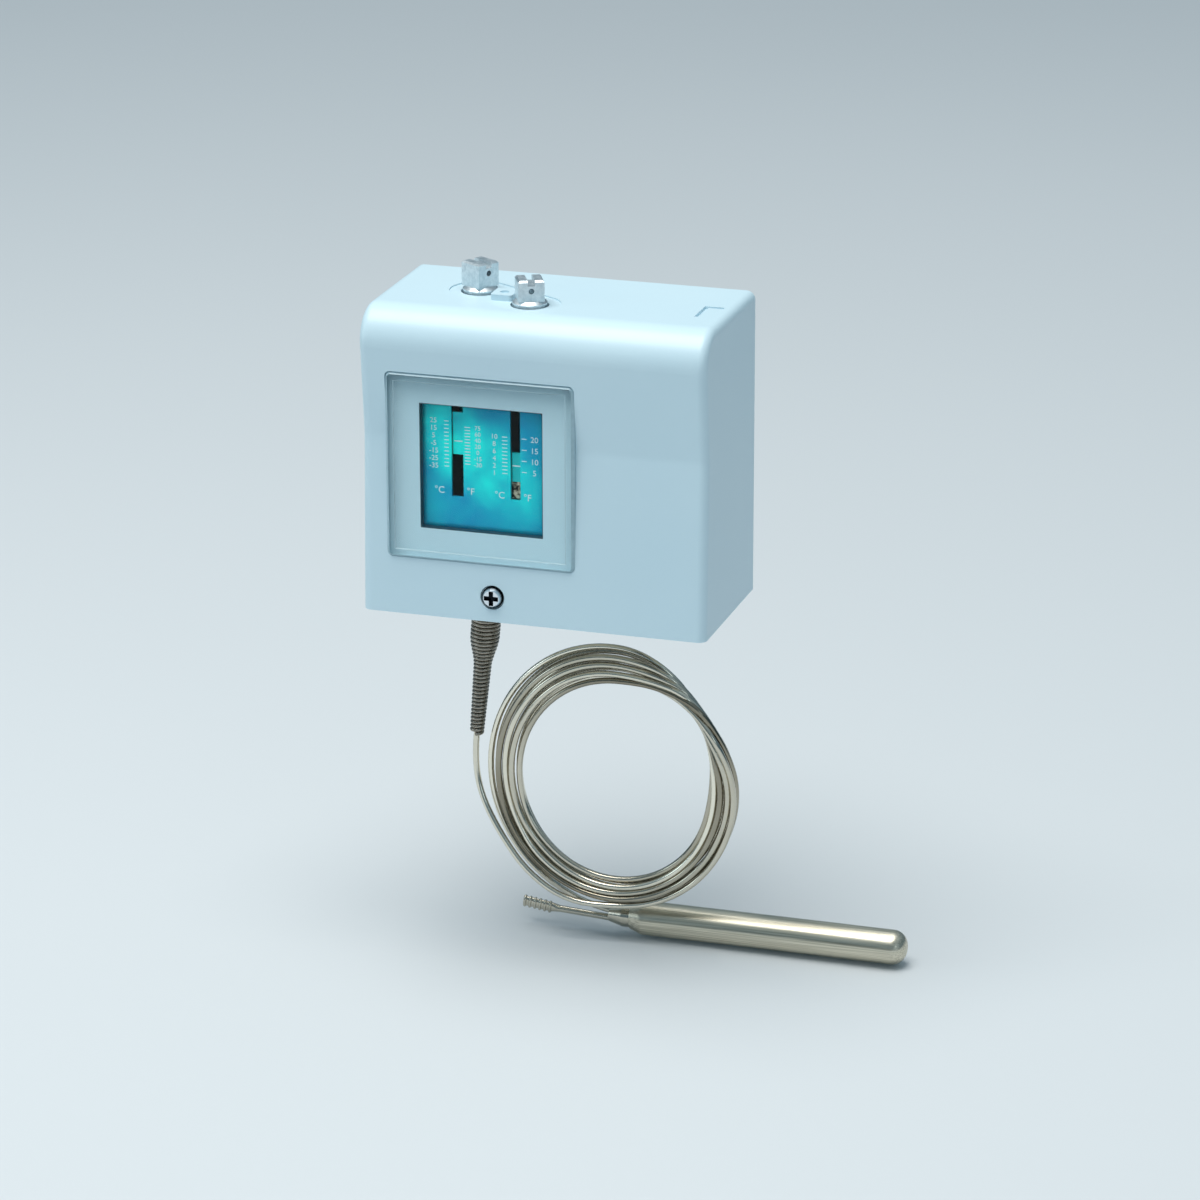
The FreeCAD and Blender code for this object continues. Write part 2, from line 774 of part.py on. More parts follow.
def bellows_base():
    """Round base on the frame's floor, with the nipple's socket."""
    return upright(range_axis, floor_top, floor_top + base_height, base_radius).cut(nipple_and_line())


def bellows():
    """Corrugated bellows: one thin wall with flat-tipped folds, turned about the range spindle's axis."""
    low = floor_top + base_height
    pitch = bellows_height / bellows_waves
    outside = [(bellows_inner_radius, 0)]
    for i in range(bellows_waves):
        outside.append((bellows_inner_radius, i * pitch + bellows_land / 2))
        outside.append((bellows_outer_radius, (i + 0.5) * pitch - bellows_land / 2))
        outside.append((bellows_outer_radius, (i + 0.5) * pitch + bellows_land / 2))
        outside.append((bellows_inner_radius, (i + 1) * pitch - bellows_land / 2))
    outside.append((bellows_inner_radius, bellows_height))
    inside = [(radius - bellows_wall, height) for radius, height in reversed(outside)]
    return turned(outside + inside, range_axis + UP * low, UP)


def thrust_pad():
    """Pad on the bellows with a domed stem under the lever."""
    low = floor_top + base_height + bellows_height
    top = lever_low - thrust_gap
    return turned([(0, low), (pad_radius, low), (pad_radius, low + pad_height), (stem_radius, low + pad_height),
                   (stem_radius, top - stem_dome), (stem_radius / 2, top), (0, top)], range_axis, UP)


def chamber_bounds():
    """Low and high corners of the switch block's contact chamber."""
    low = V(switch_left + switch_wall, -switch_depth, lower_edge + switch_low_rise + switch_wall)
    high = V(switch_right - switch_wall, -frame_sheet - chamber_back_wall, low.z + chamber_height)
    return low, high


def terminal_places():
    """Front centre of each terminal clamp."""
    middle = (switch_left + switch_right) / 2
    first = middle - terminal_pitch * (terminal_count - 1) / 2
    return [V(first + i * terminal_pitch, -switch_depth + terminal_screw_head_height, lower_edge + terminal_rise)
            for i in range(terminal_count)]


def terminal_block(place, gap, front):
    """A terminal clamp's block, or its pocket."""
    half = V(terminal_width / 2 + gap, 0, terminal_height / 2 + gap)
    return box(V(place.x, front, place.z) - half, V(place.x, place.y + terminal_length + gap, place.z) + half)


def switch_body():
    """Moulded switch block with its contact chamber, terminal pockets and two lugs."""
    low = V(switch_left, -switch_depth, lower_edge + switch_low_rise)
    high = V(switch_right, -frame_sheet, low.z + switch_height)
    body = box(low, high)
    body = body.makeFillet(block_edge_radius, [e for e in body.Edges if abs(e.CenterOfMass.y - low.y) < 1e-6])
    chamber_low, chamber_high = chamber_bounds()
    body = body.cut(box(chamber_low - BACK * cut_over, chamber_high))
    for place in terminal_places():
        body = body.cut(terminal_block(place, terminal_gap, low.y - cut_over))
    plunger_axis = V(plunger_x, -plunger_depth, 0)
    body = body.cut(upright(plunger_axis, low.z - cut_over, chamber_low.z + cut_over, plunger_radius + running_gap))
    for place in switch_screw_places():
        corner = V(place.x - lug_width / 2, place.y, place.z - lug_height / 2)
        body = body.fuse(box(corner, corner + V(lug_width, lug_thickness, lug_height)))
        body = body.cut(rod(place - BACK * cut_over, place + BACK * (lug_thickness + cut_over),
                            switch_screw_radius + side_gap))
    body = body.cut(arm_pin_rod(press_gap))
    return body.removeSplitter()


def arm_pin_rod(gap):
    """The contact arm's pin, held in the back of the chamber."""
    front = -plunger_depth - arm_width / 2 - arm_pin_radius
    back = -frame_sheet - chamber_back_wall + 2 * arm_pin_radius + gap
    z = lower_edge + arm_pin_rise
    return rod(V(arm_pin_x, front, z), V(arm_pin_x, back, z), arm_pin_radius + gap)


def contact_arm():
    """Contact arm: a hub on the pin, a strip and a rivet that meets either fixed contact."""
    front = -plunger_depth - arm_width / 2
    back = front + arm_width
    z = lower_edge + arm_pin_rise
    body = rod(V(arm_pin_x, front, z), V(arm_pin_x, back, z), arm_hub_radius)
    tip = contact_x - arm_past_contact
    body = body.fuse(box(V(tip, front, z - arm_sheet / 2), V(arm_pin_x, back, z + arm_sheet / 2)))
    rivet = V(contact_x, -plunger_depth, 0)
    reach = arm_sheet / 2 + contact_button
    body = body.fuse(upright(rivet, z - reach, z + reach, contact_radius))
    return body.cut(rod(V(arm_pin_x, front - cut_over, z), V(arm_pin_x, back + cut_over, z),
                        arm_pin_radius + running_gap))


def fixed_contacts():
    """Upper and lower fixed contacts, held in the chamber's left wall."""
    z = lower_edge + arm_pin_rise
    left = switch_left + switch_wall
    right = contact_x + contact_radius
    reach = arm_sheet / 2 + contact_button + contact_travel
    half = arm_width / 2
    strips = []
    for side in (-1, 1):
        face = z + side * reach
        seat = face + side * contact_button
        outer = seat + side * fixed_strip
        strip = box(V(left, -plunger_depth - half, min(seat, outer)), V(right, -plunger_depth + half, max(seat, outer)))
        button = upright(V(contact_x, -plunger_depth, 0), min(face, seat), max(face, seat), contact_radius)
        strips.append(strip.fuse(button))
    return Part.makeCompound(strips)


def switch_plunger():
    """Plunger between the lever's tip and the contact arm."""
    low = lever_top + plunger_lift
    high = lower_edge + arm_pin_rise - arm_sheet / 2 - thrust_gap
    body = upright(V(plunger_x, -plunger_depth, 0), low, high, plunger_radius)
    tip = [e for e in body.Edges if abs(e.CenterOfMass.z - high) < 1e-6]
    return body.makeFillet(plunger_rounding, tip)


def terminal_clamps():
    """Clamp blocks with their wire holes and tapped holes."""
    clamps = []
    for place in terminal_places():
        block = terminal_block(place, 0, place.y)
        block = block.cut(rod(place - BACK * cut_over, place + BACK * terminal_length,
                              terminal_screw_radius + press_gap))
        clamps.append(block)
    return Part.makeCompound(clamps)


def terminal_screws():
    """One clamping screw for each terminal."""
    return Part.makeCompound([
        pan_screw(place, BACK, terminal_screw_head_radius, terminal_screw_head_height, terminal_screw_radius,
                  terminal_length - 2 * terminal_gap, 2 * terminal_screw_radius, terminal_screw_radius / 2,
                  terminal_screw_head_height / 2)
        for place in terminal_places()])


def switch_screws():
    """Screws that hold the switch block to the frame's back."""
    return Part.makeCompound([
        pan_screw(place, BACK, switch_screw_head_radius, switch_screw_head_height, switch_screw_radius,
                  lug_thickness + frame_sheet, 2 * switch_screw_radius, switch_screw_radius / 2,
                  switch_screw_head_height / 2)
        for place in switch_screw_places()])


def earth_screw():
    """Earth screw in the frame's back."""
    seat = V(earth_x, -frame_sheet, lower_edge + earth_rise)
    return pan_screw(seat, BACK, screw_head_radius, screw_head_height, screw_shank_radius, frame_sheet,
                     recess_arm_length, recess_arm_width, recess_arm_depth)


def cable_grommet():
    """Rubber grommet that grips the edge of its hole in the frame's floor."""
    neck = grommet_hole_radius - press_gap
    low = frame_low - press_gap
    high = floor_top + press_gap
    lip = grommet_flange_radius - grommet_flange / 2
    points = [(grommet_bore_radius, low - grommet_flange), (lip, low - grommet_flange), (grommet_flange_radius, low),
              (neck, low), (neck, high), (grommet_flange_radius, high), (lip, high + grommet_flange),
              (grommet_bore_radius, high + grommet_flange)]
    return turned(points, V(grommet_x, -grommet_depth, 0), UP)


def anti_kink_spring():
    """Close-wound spring, drawn as touching rings: a wide mouth on the nipple, then a snug length."""
    _, end, along = capillary_line()
    top = point_at_height(frame_low - thrust_gap - kink_mouth_radius * abs(along.x))
    length = (end - top).Length
    rings = int(length / kink_pitch)
    pitch = length / rings
    bore = capillary_radius + running_gap
    snug = bore + kink_wire

    def wound_radius(distance):
        share = min(max((distance - kink_mouth_length) / kink_taper_length, 0), 1)
        return kink_mouth_radius + (snug - kink_mouth_radius) * share

    edges = []
    for i in range(rings):
        near = i * pitch
        radius = wound_radius(near + pitch / 2)
        edges.append(Part.LineSegment(V(wound_radius(near) - kink_wire / 4, 0, near), V(radius, 0, near + pitch / 2)))
        far = near + pitch
        edges.append(Part.LineSegment(V(radius, 0, near + pitch / 2), V(wound_radius(far) - kink_wire / 4, 0, far)))
    inner_mouth = kink_mouth_radius - kink_wire
    last = wound_radius(length) - kink_wire / 4
    points = [V(last, 0, length), V(bore, 0, length), V(bore, 0, kink_mouth_length + kink_taper_length),
              V(inner_mouth, 0, kink_mouth_length), V(inner_mouth, 0, 0), V(kink_mouth_radius - kink_wire / 4, 0, 0)]
    edges += [Part.LineSegment(a, b) for a, b in zip(points, points[1:])]
    body = Part.Face(Part.Wire([e.toShape() for e in edges])).revolve(V(), UP, 360)
    body.Placement = FreeCAD.Placement(top, FreeCAD.Rotation(UP, along))
    return body


def route_tube(points, radius):
    """A tube of straight runs joined by tangent arcs, as large as its runs allow."""
    edges = []
    start = points[0]
    radii = []
    for before, corner, after in zip(points, points[1:], points[2:]):
        back = (before - corner).normalize()
        ahead = (after - corner).normalize()
        half = back.getAngle(ahead) / 2
        reach = 0.45 * min((before - corner).Length, (after - corner).Length)
        bend = reach * math.tan(half)
        middle = corner + (back + ahead).normalize() * (bend / math.sin(half) - bend)
        edges.append(Part.LineSegment(start, corner + back * reach).toShape())
        edges.append(Part.Arc(corner + back * reach, middle, corner + ahead * reach).toShape())
        start = corner + ahead * reach
        radii.append(round(bend, 1))
    edges.append(Part.LineSegment(start, points[-1]).toShape())
    path = Part.Wire(edges)
    section = Part.Wire(Part.makeCircle(radius, points[0], points[1] - points[0]))
    tube = path.makePipeShell([section], True, True)
    share = tube.Volume / (math.pi * radius ** 2 * path.Length)
    print("bend radii", radii, "length", round(path.Length, 1), "volume share", round(share, 4))
    return tube


def lead_route():
    """Route of the free capillary from the spring's end to the foot of the coil."""
    _, end, along = capillary_line()
    points = [end, end + along * lead_first_run]
    points += [V(x, y, lower_edge - drop) for x, y, drop in (
        (-24.9, -22.2, 62.6), (-18.3, -24.5, 73.3), (-9.8, -25.1, 84.5), (2.4, -24.8, 92.0), (11.6, -22.8, 93.3))]
    return points


def end_route():
    """Route of the capillary from the back of the coil to the bulb's plug."""
    tip = plug_tip()
    return [V(-8.5, -19.6, lower_edge - 83.2), V(-3.0, -16.6, lower_edge - 91.2), V(4.2, -14.0, lower_edge - 96.4),
            tip + UP * plug_spread]


def capillary_coil():
    """Outer shape of the whole coil: an oval ring standing in the plane of the housing's width."""
    front = -coil_depth - coil_thickness / 2
    centre = V(coil_x, front, lower_edge - coil_drop)

    def oval(half_width, half_height):
        curve = Part.Ellipse(centre + UP * half_height, centre + RIGHT * half_width, centre)
        return Part.Face(Part.Wire(curve.toShape())).extrude(BACK * coil_thickness)

    ring = oval(coil_half_width, coil_half_height).cut(oval(coil_eye_half_width, coil_eye_half_height))
    rims = [e for e in ring.Edges if e.Length > 4 * coil_eye_half_width]
    return ring.makeFillet(coil_edge, rims)


def plug_tip():
    """Centre of the bulb plug's left face."""
    return V(bulb_left - plug_length, -bulb_depth, lower_edge - bulb_drop)


def sensing_bulb():
    """Drawn bulb with a narrowed neck at its plug and a rounded nose."""
    left = V(bulb_left, -bulb_depth, lower_edge - bulb_drop)
    length = bulb_right - bulb_left
    body = turned([(0, 0), (bulb_neck_radius, 0), (bulb_radius, bulb_shoulder), (bulb_radius, length), (0, length)],
                  left, RIGHT)
    shoulder = [e for e in body.Edges if abs(e.CenterOfMass.x - bulb_left - bulb_shoulder) < 1e-6
                and e.BoundBox.XLength < 1e-6]
    body = body.makeFillet(bulb_shoulder_blend, shoulder)
    nose = [e for e in body.Edges if abs(e.CenterOfMass.x - bulb_right) < 1e-6 and e.BoundBox.XLength < 1e-6]
    return body.makeFillet(bulb_nose, nose)


def bulb_plug():
    """Plug in the bulb's end: a collar and a cone that takes both tubes."""
    return turned([(0, 0), (plug_tip_radius, 0), (plug_collar_radius, plug_length - plug_collar),
                   (plug_collar_radius, plug_length), (0, plug_length)], plug_tip(), RIGHT)


def filling_tube():
    """Filling tube, pinched shut over its last stretch."""
    start = plug_tip() - UP * plug_spread
    bend = V(filling_x, start.y, lower_edge - filling_drop)
    tip = V(filling_tip_x, start.y, lower_edge - filling_tip_drop)
    along = (bend - start).normalize()
    body = rod(start, bend, filling_radius)
    flat = (tip - bend).normalize()
    across = flat.cross(BACK).normalize()

    def section(centre, half_width, half_thickness):
        curve = Part.Ellipse(centre + across * half_width, centre + BACK * half_thickness, centre)
        return Part.Wire(curve.toShape())

    near = section(bend - along * pinch_step, filling_radius, filling_radius * 0.999)
    step = section(bend + flat * pinch_step, pinch_half_width, pinch_half_thickness)
    far = section(tip, pinch_half_width, pinch_half_thickness)
    pinched = Part.makeLoft([near, step], True, True).fuse(Part.makeLoft([step, far], True, True))
    return body.fuse(pinched).removeSplitter()


def main():
    """Build and write every sub-part."""
    save("mounting_frame", mounting_frame())
    save("hood", hood())
    save("window", window())
    save("cover_screw", cover_screw())
    save("scale_plate", scale_plate())
    save("scale_plate_screws", plate_screws())
    save("range_spindle", spindle(range_axis, range_turn, range_collar_low - range_end_below_collar,
                                  range_head_height))
    save("differential_spindle", spindle(differential_axis, differential_turn,
                                         differential_collar_low - differential_end_below_collar,
                                         differential_head_height))
    save("range_clip", spindle_clip(range_axis))
    save("differential_clip", spindle_clip(differential_axis))
    save("spindle_bushes", Part.makeCompound([spindle_bush(range_axis), spindle_bush(differential_axis)]))
    save("range_pointer", pointer(range_axis, range_collar_low, range_arm_low, range_slot_x, range_slot_width,
                                  range_flag_high - range_flag_length, range_flag_high))
    save("differential_pointer", pointer(differential_axis, differential_collar_low, differential_arm_low,
                                         differential_slot_x, differential_slot_width,
                                         differential_flag_low, differential_flag_low + differential_flag_length))
    save("range_spring", coil_spring(range_axis, lever_top, range_collar_low, range_spring_radius,
                                     range_wire_radius, range_spring_turns))
    save("differential_spring", coil_spring(differential_axis, lever_top, differential_collar_low,
                                            differential_spring_radius, differential_wire_radius,
                                            differential_spring_turns))
    save("main_lever", main_lever())
    save("lever_pin", lever_pin_rod(pivot_radius, 0))
    save("pivot_bracket", pivot_bracket())
    save("bellows_base", bellows_base())
    save("bellows", bellows())
    save("thrust_pad", thrust_pad())
    save("capillary_nipple", nipple_and_line())
    save("anti_kink_spring", anti_kink_spring())
    start, end, _ = capillary_line()
    save("capillary_inlet", rod(start, end, capillary_radius))
    save("capillary_lead", route_tube(lead_route(), capillary_radius))
    save("capillary_coil", capillary_coil())
    save("capillary_end", route_tube(end_route(), capillary_radius))
    save("sensing_bulb", sensing_bulb())
    save("bulb_plug", bulb_plug())
    save("filling_tube", filling_tube())
    save("switch_body", switch_body())
    save("switch_plunger", switch_plunger())
    save("contact_arm", contact_arm())
    save("contact_arm_pin", arm_pin_rod(0))
    save("fixed_contacts", fixed_contacts())
    save("terminal_clamps", terminal_clamps())
    save("terminal_screws", terminal_screws())
    save("switch_screws", switch_screws())
    save("earth_screw", earth_screw())
    save("cable_grommet", cable_grommet())


main()
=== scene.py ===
# %% [markdown]
# # A refrigeration thermostat with a coiled capillary
# The object hangs on a wall: a white moulded hood with a clear window, two square-headed setting spindles on
# top, and a thin tube, the capillary, that ends in a sensing bulb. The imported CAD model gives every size.
# This lesson adds what a CAD model can't show: finishes, print, real wire and a tube that is wound as it is
# on the real thing.

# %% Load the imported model
import math
import bmesh
import bpy
from mathutils import Matrix, Vector


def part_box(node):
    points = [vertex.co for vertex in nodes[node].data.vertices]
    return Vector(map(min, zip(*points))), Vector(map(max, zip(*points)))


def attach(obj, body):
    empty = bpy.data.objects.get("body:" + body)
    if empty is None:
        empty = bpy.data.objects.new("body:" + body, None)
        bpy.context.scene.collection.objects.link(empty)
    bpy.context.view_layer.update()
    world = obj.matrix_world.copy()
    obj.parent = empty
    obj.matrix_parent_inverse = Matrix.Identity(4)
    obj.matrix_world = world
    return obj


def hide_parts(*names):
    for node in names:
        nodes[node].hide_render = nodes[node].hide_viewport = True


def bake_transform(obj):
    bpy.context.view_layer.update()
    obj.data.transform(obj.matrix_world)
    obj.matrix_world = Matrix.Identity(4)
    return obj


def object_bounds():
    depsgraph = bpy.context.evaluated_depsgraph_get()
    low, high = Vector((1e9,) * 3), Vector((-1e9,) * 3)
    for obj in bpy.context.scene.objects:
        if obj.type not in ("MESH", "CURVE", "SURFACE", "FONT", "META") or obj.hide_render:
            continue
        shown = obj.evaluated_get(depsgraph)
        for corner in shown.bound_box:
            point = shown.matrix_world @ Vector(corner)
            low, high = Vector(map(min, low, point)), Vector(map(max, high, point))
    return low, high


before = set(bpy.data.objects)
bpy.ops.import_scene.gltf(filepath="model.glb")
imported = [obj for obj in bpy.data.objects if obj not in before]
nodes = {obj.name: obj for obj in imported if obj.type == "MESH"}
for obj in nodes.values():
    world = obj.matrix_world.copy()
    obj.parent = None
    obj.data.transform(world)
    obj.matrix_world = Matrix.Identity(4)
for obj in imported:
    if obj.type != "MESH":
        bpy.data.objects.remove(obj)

scene = bpy.context.scene
cad_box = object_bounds()
mm = 0.001
LOWER_EDGE = -43.8  # the hood's lower edge in the CAD model, in millimetres


def place(x, y, rise):
    """A point in metres, from millimetres. The rise is counted from the hood's lower edge."""
    return Vector((x, y, rise + LOWER_EDGE)) * mm


# %% [markdown]
# ## The camera
# The photograph is taken from a little to the right and from above, with a long lens, so that parallel edges
# stay almost parallel. Three axes describe the view: right, up, and back from the object to the camera. They
# are the columns of the camera's matrix, so no angle has to be turned into Blender's order of rotations.

# %% Camera
VIEW_TURN = math.radians(17.49)
VIEW_RISE = math.radians(18.97)
VIEW_ROLL = math.radians(-0.13)
CAMERA_PLACE = (0.40981, -1.28677, 0.41193)
camera_data = bpy.data.cameras.new("camera")
camera_data.sensor_width = 36
camera_data.lens = 149.07
camera_data.clip_start = 0.05
camera = bpy.data.objects.new("camera", camera_data)
scene.collection.objects.link(camera)
back = Vector((math.sin(VIEW_TURN) * math.cos(VIEW_RISE), -math.cos(VIEW_TURN) * math.cos(VIEW_RISE),
               math.sin(VIEW_RISE)))
level = Vector((math.cos(VIEW_TURN), math.sin(VIEW_TURN), 0))
upward = back.cross(level)
right = level * math.cos(VIEW_ROLL) + upward * math.sin(VIEW_ROLL)
up = upward * math.cos(VIEW_ROLL) - level * math.sin(VIEW_ROLL)
axes = Matrix((right, up, back)).transposed().to_4x4()
camera.matrix_world = Matrix.Translation(CAMERA_PLACE) @ axes
scene.camera = camera
scene.view_settings.view_transform = "Standard"
print("camera at", [round(v, 3) for v in camera.location])

# %% [markdown]
# ## One helper for nodes
# Shaders and Geometry Nodes are both trees of nodes. One small function adds a node, sets its properties, and
# fills its sockets. A value that is itself a socket becomes a link. Colours are written as hex values, as in
# any drawing program, and one function turns them into the linear values that Blender calculates with. Where
# a finish is no more than two colours in soft spots, one function makes the whole of it.

# %% Node and colour helpers


def linear(hex_value):
    """A hex sRGB colour as linear red, green, blue and alpha."""
    channels = [int(hex_value[i:i + 2], 16) / 255 for i in (1, 3, 5)]
    return [c / 12.92 if c <= 0.04045 else ((c + 0.055) / 1.055) ** 2.4 for c in channels] + [1]


def add_node(tree, kind, values=None, **settings):
    """Add a node to a tree: its settings, then its sockets, each a value or another node's socket."""
    node = tree.nodes.new(kind)
    for key, value in settings.items():
        setattr(node, key, value)
    for key, value in (values or {}).items():
        if isinstance(value, bpy.types.NodeSocket):
            tree.links.new(value, node.inputs[key])
        else:
            node.inputs[key].default_value = value
    return node


def new_finish(name, **constants):
    """A material with one Principled shader. Constants go on the shader's own sockets."""
    material = bpy.data.materials.new(name)
    material.use_nodes = True
    tree = material.node_tree
    shader = tree.nodes["Principled BSDF"]
    for key, value in constants.items():
        shader.inputs[key.replace("_", " ")].default_value = value
    spot = add_node(tree, "ShaderNodeTexCoord").outputs["Object"]
    return material, tree, shader, spot


def feed(tree, shader, socket, source):
    """Link a socket of the shader to what drives it."""
    tree.links.new(source, shader.inputs[socket])


def mottled_finish(name, spot_size, detail, colours, shine=None, **constants):
    """A material of two colours in soft spots of a real size. Shine gives the roughness of either colour."""
    material, tree, shader, spot = new_finish(name, **constants)
    mottle = add_node(tree, "ShaderNodeTexNoise", {"Vector": spot, "Scale": 1 / spot_size, "Detail": detail})
    tone = add_node(tree, "ShaderNodeValToRGB", {"Fac": mottle.outputs["Fac"]})
    for stop, colour in zip(tone.color_ramp.elements, colours):
        stop.color = linear(colour)
    feed(tree, shader, "Base Color", tone.outputs["Color"])
    if shine:
        rough = add_node(tree, "ShaderNodeMapRange", {
            "Value": mottle.outputs["Fac"], "To Min": shine[0], "To Max": shine[1]})
        feed(tree, shader, "Roughness", rough.outputs["Result"])
    return material


# %% [markdown]
# ## The capillary
# The capillary is one unbroken stainless tube of 1.8 mm, about 2 m long. It comes out of its protecting
# spring, hangs down in a bow, is wound almost nine times into an oval ring and runs from the back of the ring
# into the bulb. A coil like that could be drawn as a torus with grooves, but the real strands change places:
# at the upper right, where the installer twisted the bundle, the outer strands go inside. So the whole tube
# follows one NURBS curve. Its free ends repeat the route of the CAD model, and a loop lays the turns round a
# flat bundle, each strand in a slot of its own. The curve is then made a mesh, once bare for its line and
# once thick for the tube.

# %% Capillary: the free ends
TUBE_RADIUS = 0.9 * mm
lead_points = [place(*p) for p in (
    (-26.2, -21.0, -44.3), (-26.95, -21.0, -51.66), (-24.9, -22.2, -62.6), (-18.3, -24.5, -73.3),
    (-9.8, -25.1, -84.5), (2.4, -24.8, -92.0))]
end_points = [place(*p) for p in ((-3.0, -16.6, -91.2), (4.2, -14.0, -96.4), (11.4, -13.2, -98.05))]
print("free ends:", len(lead_points), "and", len(end_points), "points")

# %% Capillary: the wound ring
# The bundle's sizes are in millimetres: half its width where it lies flat and where it stands upright, what
# the left side, the ends and the top add, then half its depth and what standing upright adds to that.
RING_CENTRE = place(15.3, -21.0, -54.05)
RING_HALF_WIDTH = 32.5 * mm
RING_HALF_HEIGHT = 34.65 * mm
TURNS = 8.9
START_ANGLE = math.radians(272)
POINTS_PER_TURN = 28
SPLINE_SHRINK = 0.9937
SLOTS = 11
SLOTS_PER_TURN = 6
TWIST_ANGLE = math.radians(38)
NARROW_REACH = math.radians(50)
CROSSING_REACH = math.radians(42)
TWIST_LEAN = 0.45
LOOSENESS = 0.22 * mm
OUTWARD_PHASE = 2.4
FORWARD_PHASE = 1.7
FIRST_SHARE = 0.08
FLAT_HALF_WIDTH = 4.65
UPRIGHT_HALF_WIDTH = 0.9
WIDER_LEFT = 0.35
WIDER_ENDS = 0.35
WIDER_TOP = 0.3
FLAT_HALF_DEPTH = 1.75
UPRIGHT_GAIN = 2.6


def at_twist(angle):
    """How much the bundle is squeezed at this angle: 1 at the twist, 0 beyond the narrow stretch."""
    beside = (angle - TWIST_ANGLE + math.pi) % (2 * math.pi) - math.pi
    return math.cos(beside / NARROW_REACH * math.pi / 2) ** 2 if abs(beside) < NARROW_REACH else 0


def bundle_size(angle):
    """Half width and half depth of the bundle, to its strands' centres: flat, but upright at the twist."""
    width = (FLAT_HALF_WIDTH - WIDER_LEFT * math.cos(angle) + WIDER_ENDS * math.sin(angle) ** 2
             + WIDER_TOP * math.sin(angle))
    squeeze = at_twist(angle)
    depth = FLAT_HALF_DEPTH + UPRIGHT_GAIN * squeeze
    return (width + (UPRIGHT_HALF_WIDTH - width) * squeeze) * mm, depth * mm


def round_the_bundle(share, half_width, half_depth):
    """Point on the bundle's rounded outline, outwards and forwards. A share of 0 is the outermost point."""
    radius = min(half_width, half_depth)
    flat = half_width - radius
    upright = half_depth - radius
    quarter = math.pi / 2 * radius
    run = share % 1 * (4 * flat + 4 * upright + 4 * quarter)
    stretches = ((upright, None), (quarter, 0), (2 * flat, None), (quarter, 1), (2 * upright, None),
                 (quarter, 2), (2 * flat, None), (quarter, 3), (upright, None))
    corners = ((flat, upright), (-flat, upright), (-flat, -upright), (flat, -upright))
    point = Vector((half_width, 0))
    heading = Vector((0, 1))
    for length, corner in stretches:
        gone = min(run, length)
        if corner is None:
            point = point + heading * gone
        else:
            turn = math.pi / 2 * corner + gone / radius
            point = Vector(corners[corner]) + Vector((math.cos(turn), math.sin(turn))) * radius
            heading = Vector((-math.sin(turn), math.cos(turn)))
        run -= gone
        if run <= 0:
            break
    return point


def ring_point(travel):
    """Point of the wound tube after this much travel in radians, counter-clockwise from the front.

    Each pass of the twist takes a strand half way round the bundle, and the creep gives it the next slot. The
    spline cuts inside its points, so they lie a little further out than the tube.
    """
    angle = START_ANGLE + travel
    passes = math.floor((angle - TWIST_ANGLE + math.pi) / (2 * math.pi))
    beside = angle - TWIST_ANGLE - passes * 2 * math.pi
    ease = min(max(beside / CROSSING_REACH / 2 + 0.5, 0), 1)
    crossed = passes - 1 + ease * ease * (3 - 2 * ease)
    creep = SLOTS_PER_TURN / SLOTS - 0.5
    share = FIRST_SHARE + 0.5 * crossed + creep * travel / (2 * math.pi)
    outwards, forwards = round_the_bundle(share, *bundle_size(angle))
    outwards += TWIST_LEAN * forwards * at_twist(angle)
    wander = LOOSENESS * (1 - at_twist(angle))
    outwards += wander * math.sin(2 * angle + OUTWARD_PHASE * passes)
    forwards += wander * math.sin(3 * angle + FORWARD_PHASE * passes)
    normal = Vector((RING_HALF_HEIGHT * math.cos(angle), 0, RING_HALF_WIDTH * math.sin(angle)))
    middle = Vector((RING_HALF_WIDTH * math.cos(angle), 0, RING_HALF_HEIGHT * math.sin(angle)))
    flat = (middle + normal.normalized() * outwards) / SPLINE_SHRINK
    return RING_CENTRE + flat - Vector((0, forwards, 0))


count = round(TURNS * POINTS_PER_TURN)
ring_points = [ring_point(2 * math.pi * TURNS * i / count) for i in range(count + 1)]
print("ring:", len(ring_points), "points, first", ring_points[0], "last", ring_points[-1])

# %% Capillary: one spline through all of it
def add_piece(name, data):
    """A mesh, curve or text as an object at the origin."""
    piece = bpy.data.objects.new(name, data)
    scene.collection.objects.link(piece)
    return piece


def as_mesh(thing):
    """What Blender makes of an object, modifiers and all, as a plain mesh. The object itself goes."""
    graph = bpy.context.evaluated_depsgraph_get()
    mesh = bpy.data.meshes.new_from_object(thing.evaluated_get(graph), depsgraph=graph)
    bpy.data.objects.remove(thing)
    return mesh


tube_curve = bpy.data.curves.new("capillary_route", "CURVE")
tube_curve.dimensions = "3D"
tube_curve.bevel_resolution = 3
tube_curve.resolution_u = 5
tube_curve.use_fill_caps = True
spline = tube_curve.splines.new("NURBS")
route = lead_points + ring_points + end_points
spline.points.add(len(route) - 1)
for point, position in zip(spline.points, route):
    point.co = (*position, 1)
spline.order_u = 3
spline.use_endpoint_u = True
centre_line = [v.co.copy() for v in as_mesh(add_piece("route", tube_curve)).vertices]
tube_curve.bevel_depth = TUBE_RADIUS
capillary = add_piece("capillary", as_mesh(add_piece("tube", tube_curve)))
tube_length = sum((b - a).length for a, b in zip(centre_line, centre_line[1:]))
print("capillary:", len(route), "points,", round(tube_length, 3), "m along its centre line")
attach(capillary, "housing")
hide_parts("capillary_lead", "capillary_coil", "capillary_end")

# %% [markdown]
# ## Geometry Nodes for what repeats
# A tree of Geometry Nodes is a recipe with named inputs. Each recipe here grows from an empty mesh, and the
# result is then kept as a plain mesh, which exports cleanly and can't change later. The inputs are set by the
# identifier of their socket, because the name is only a label.

# %% Helpers for Geometry Nodes


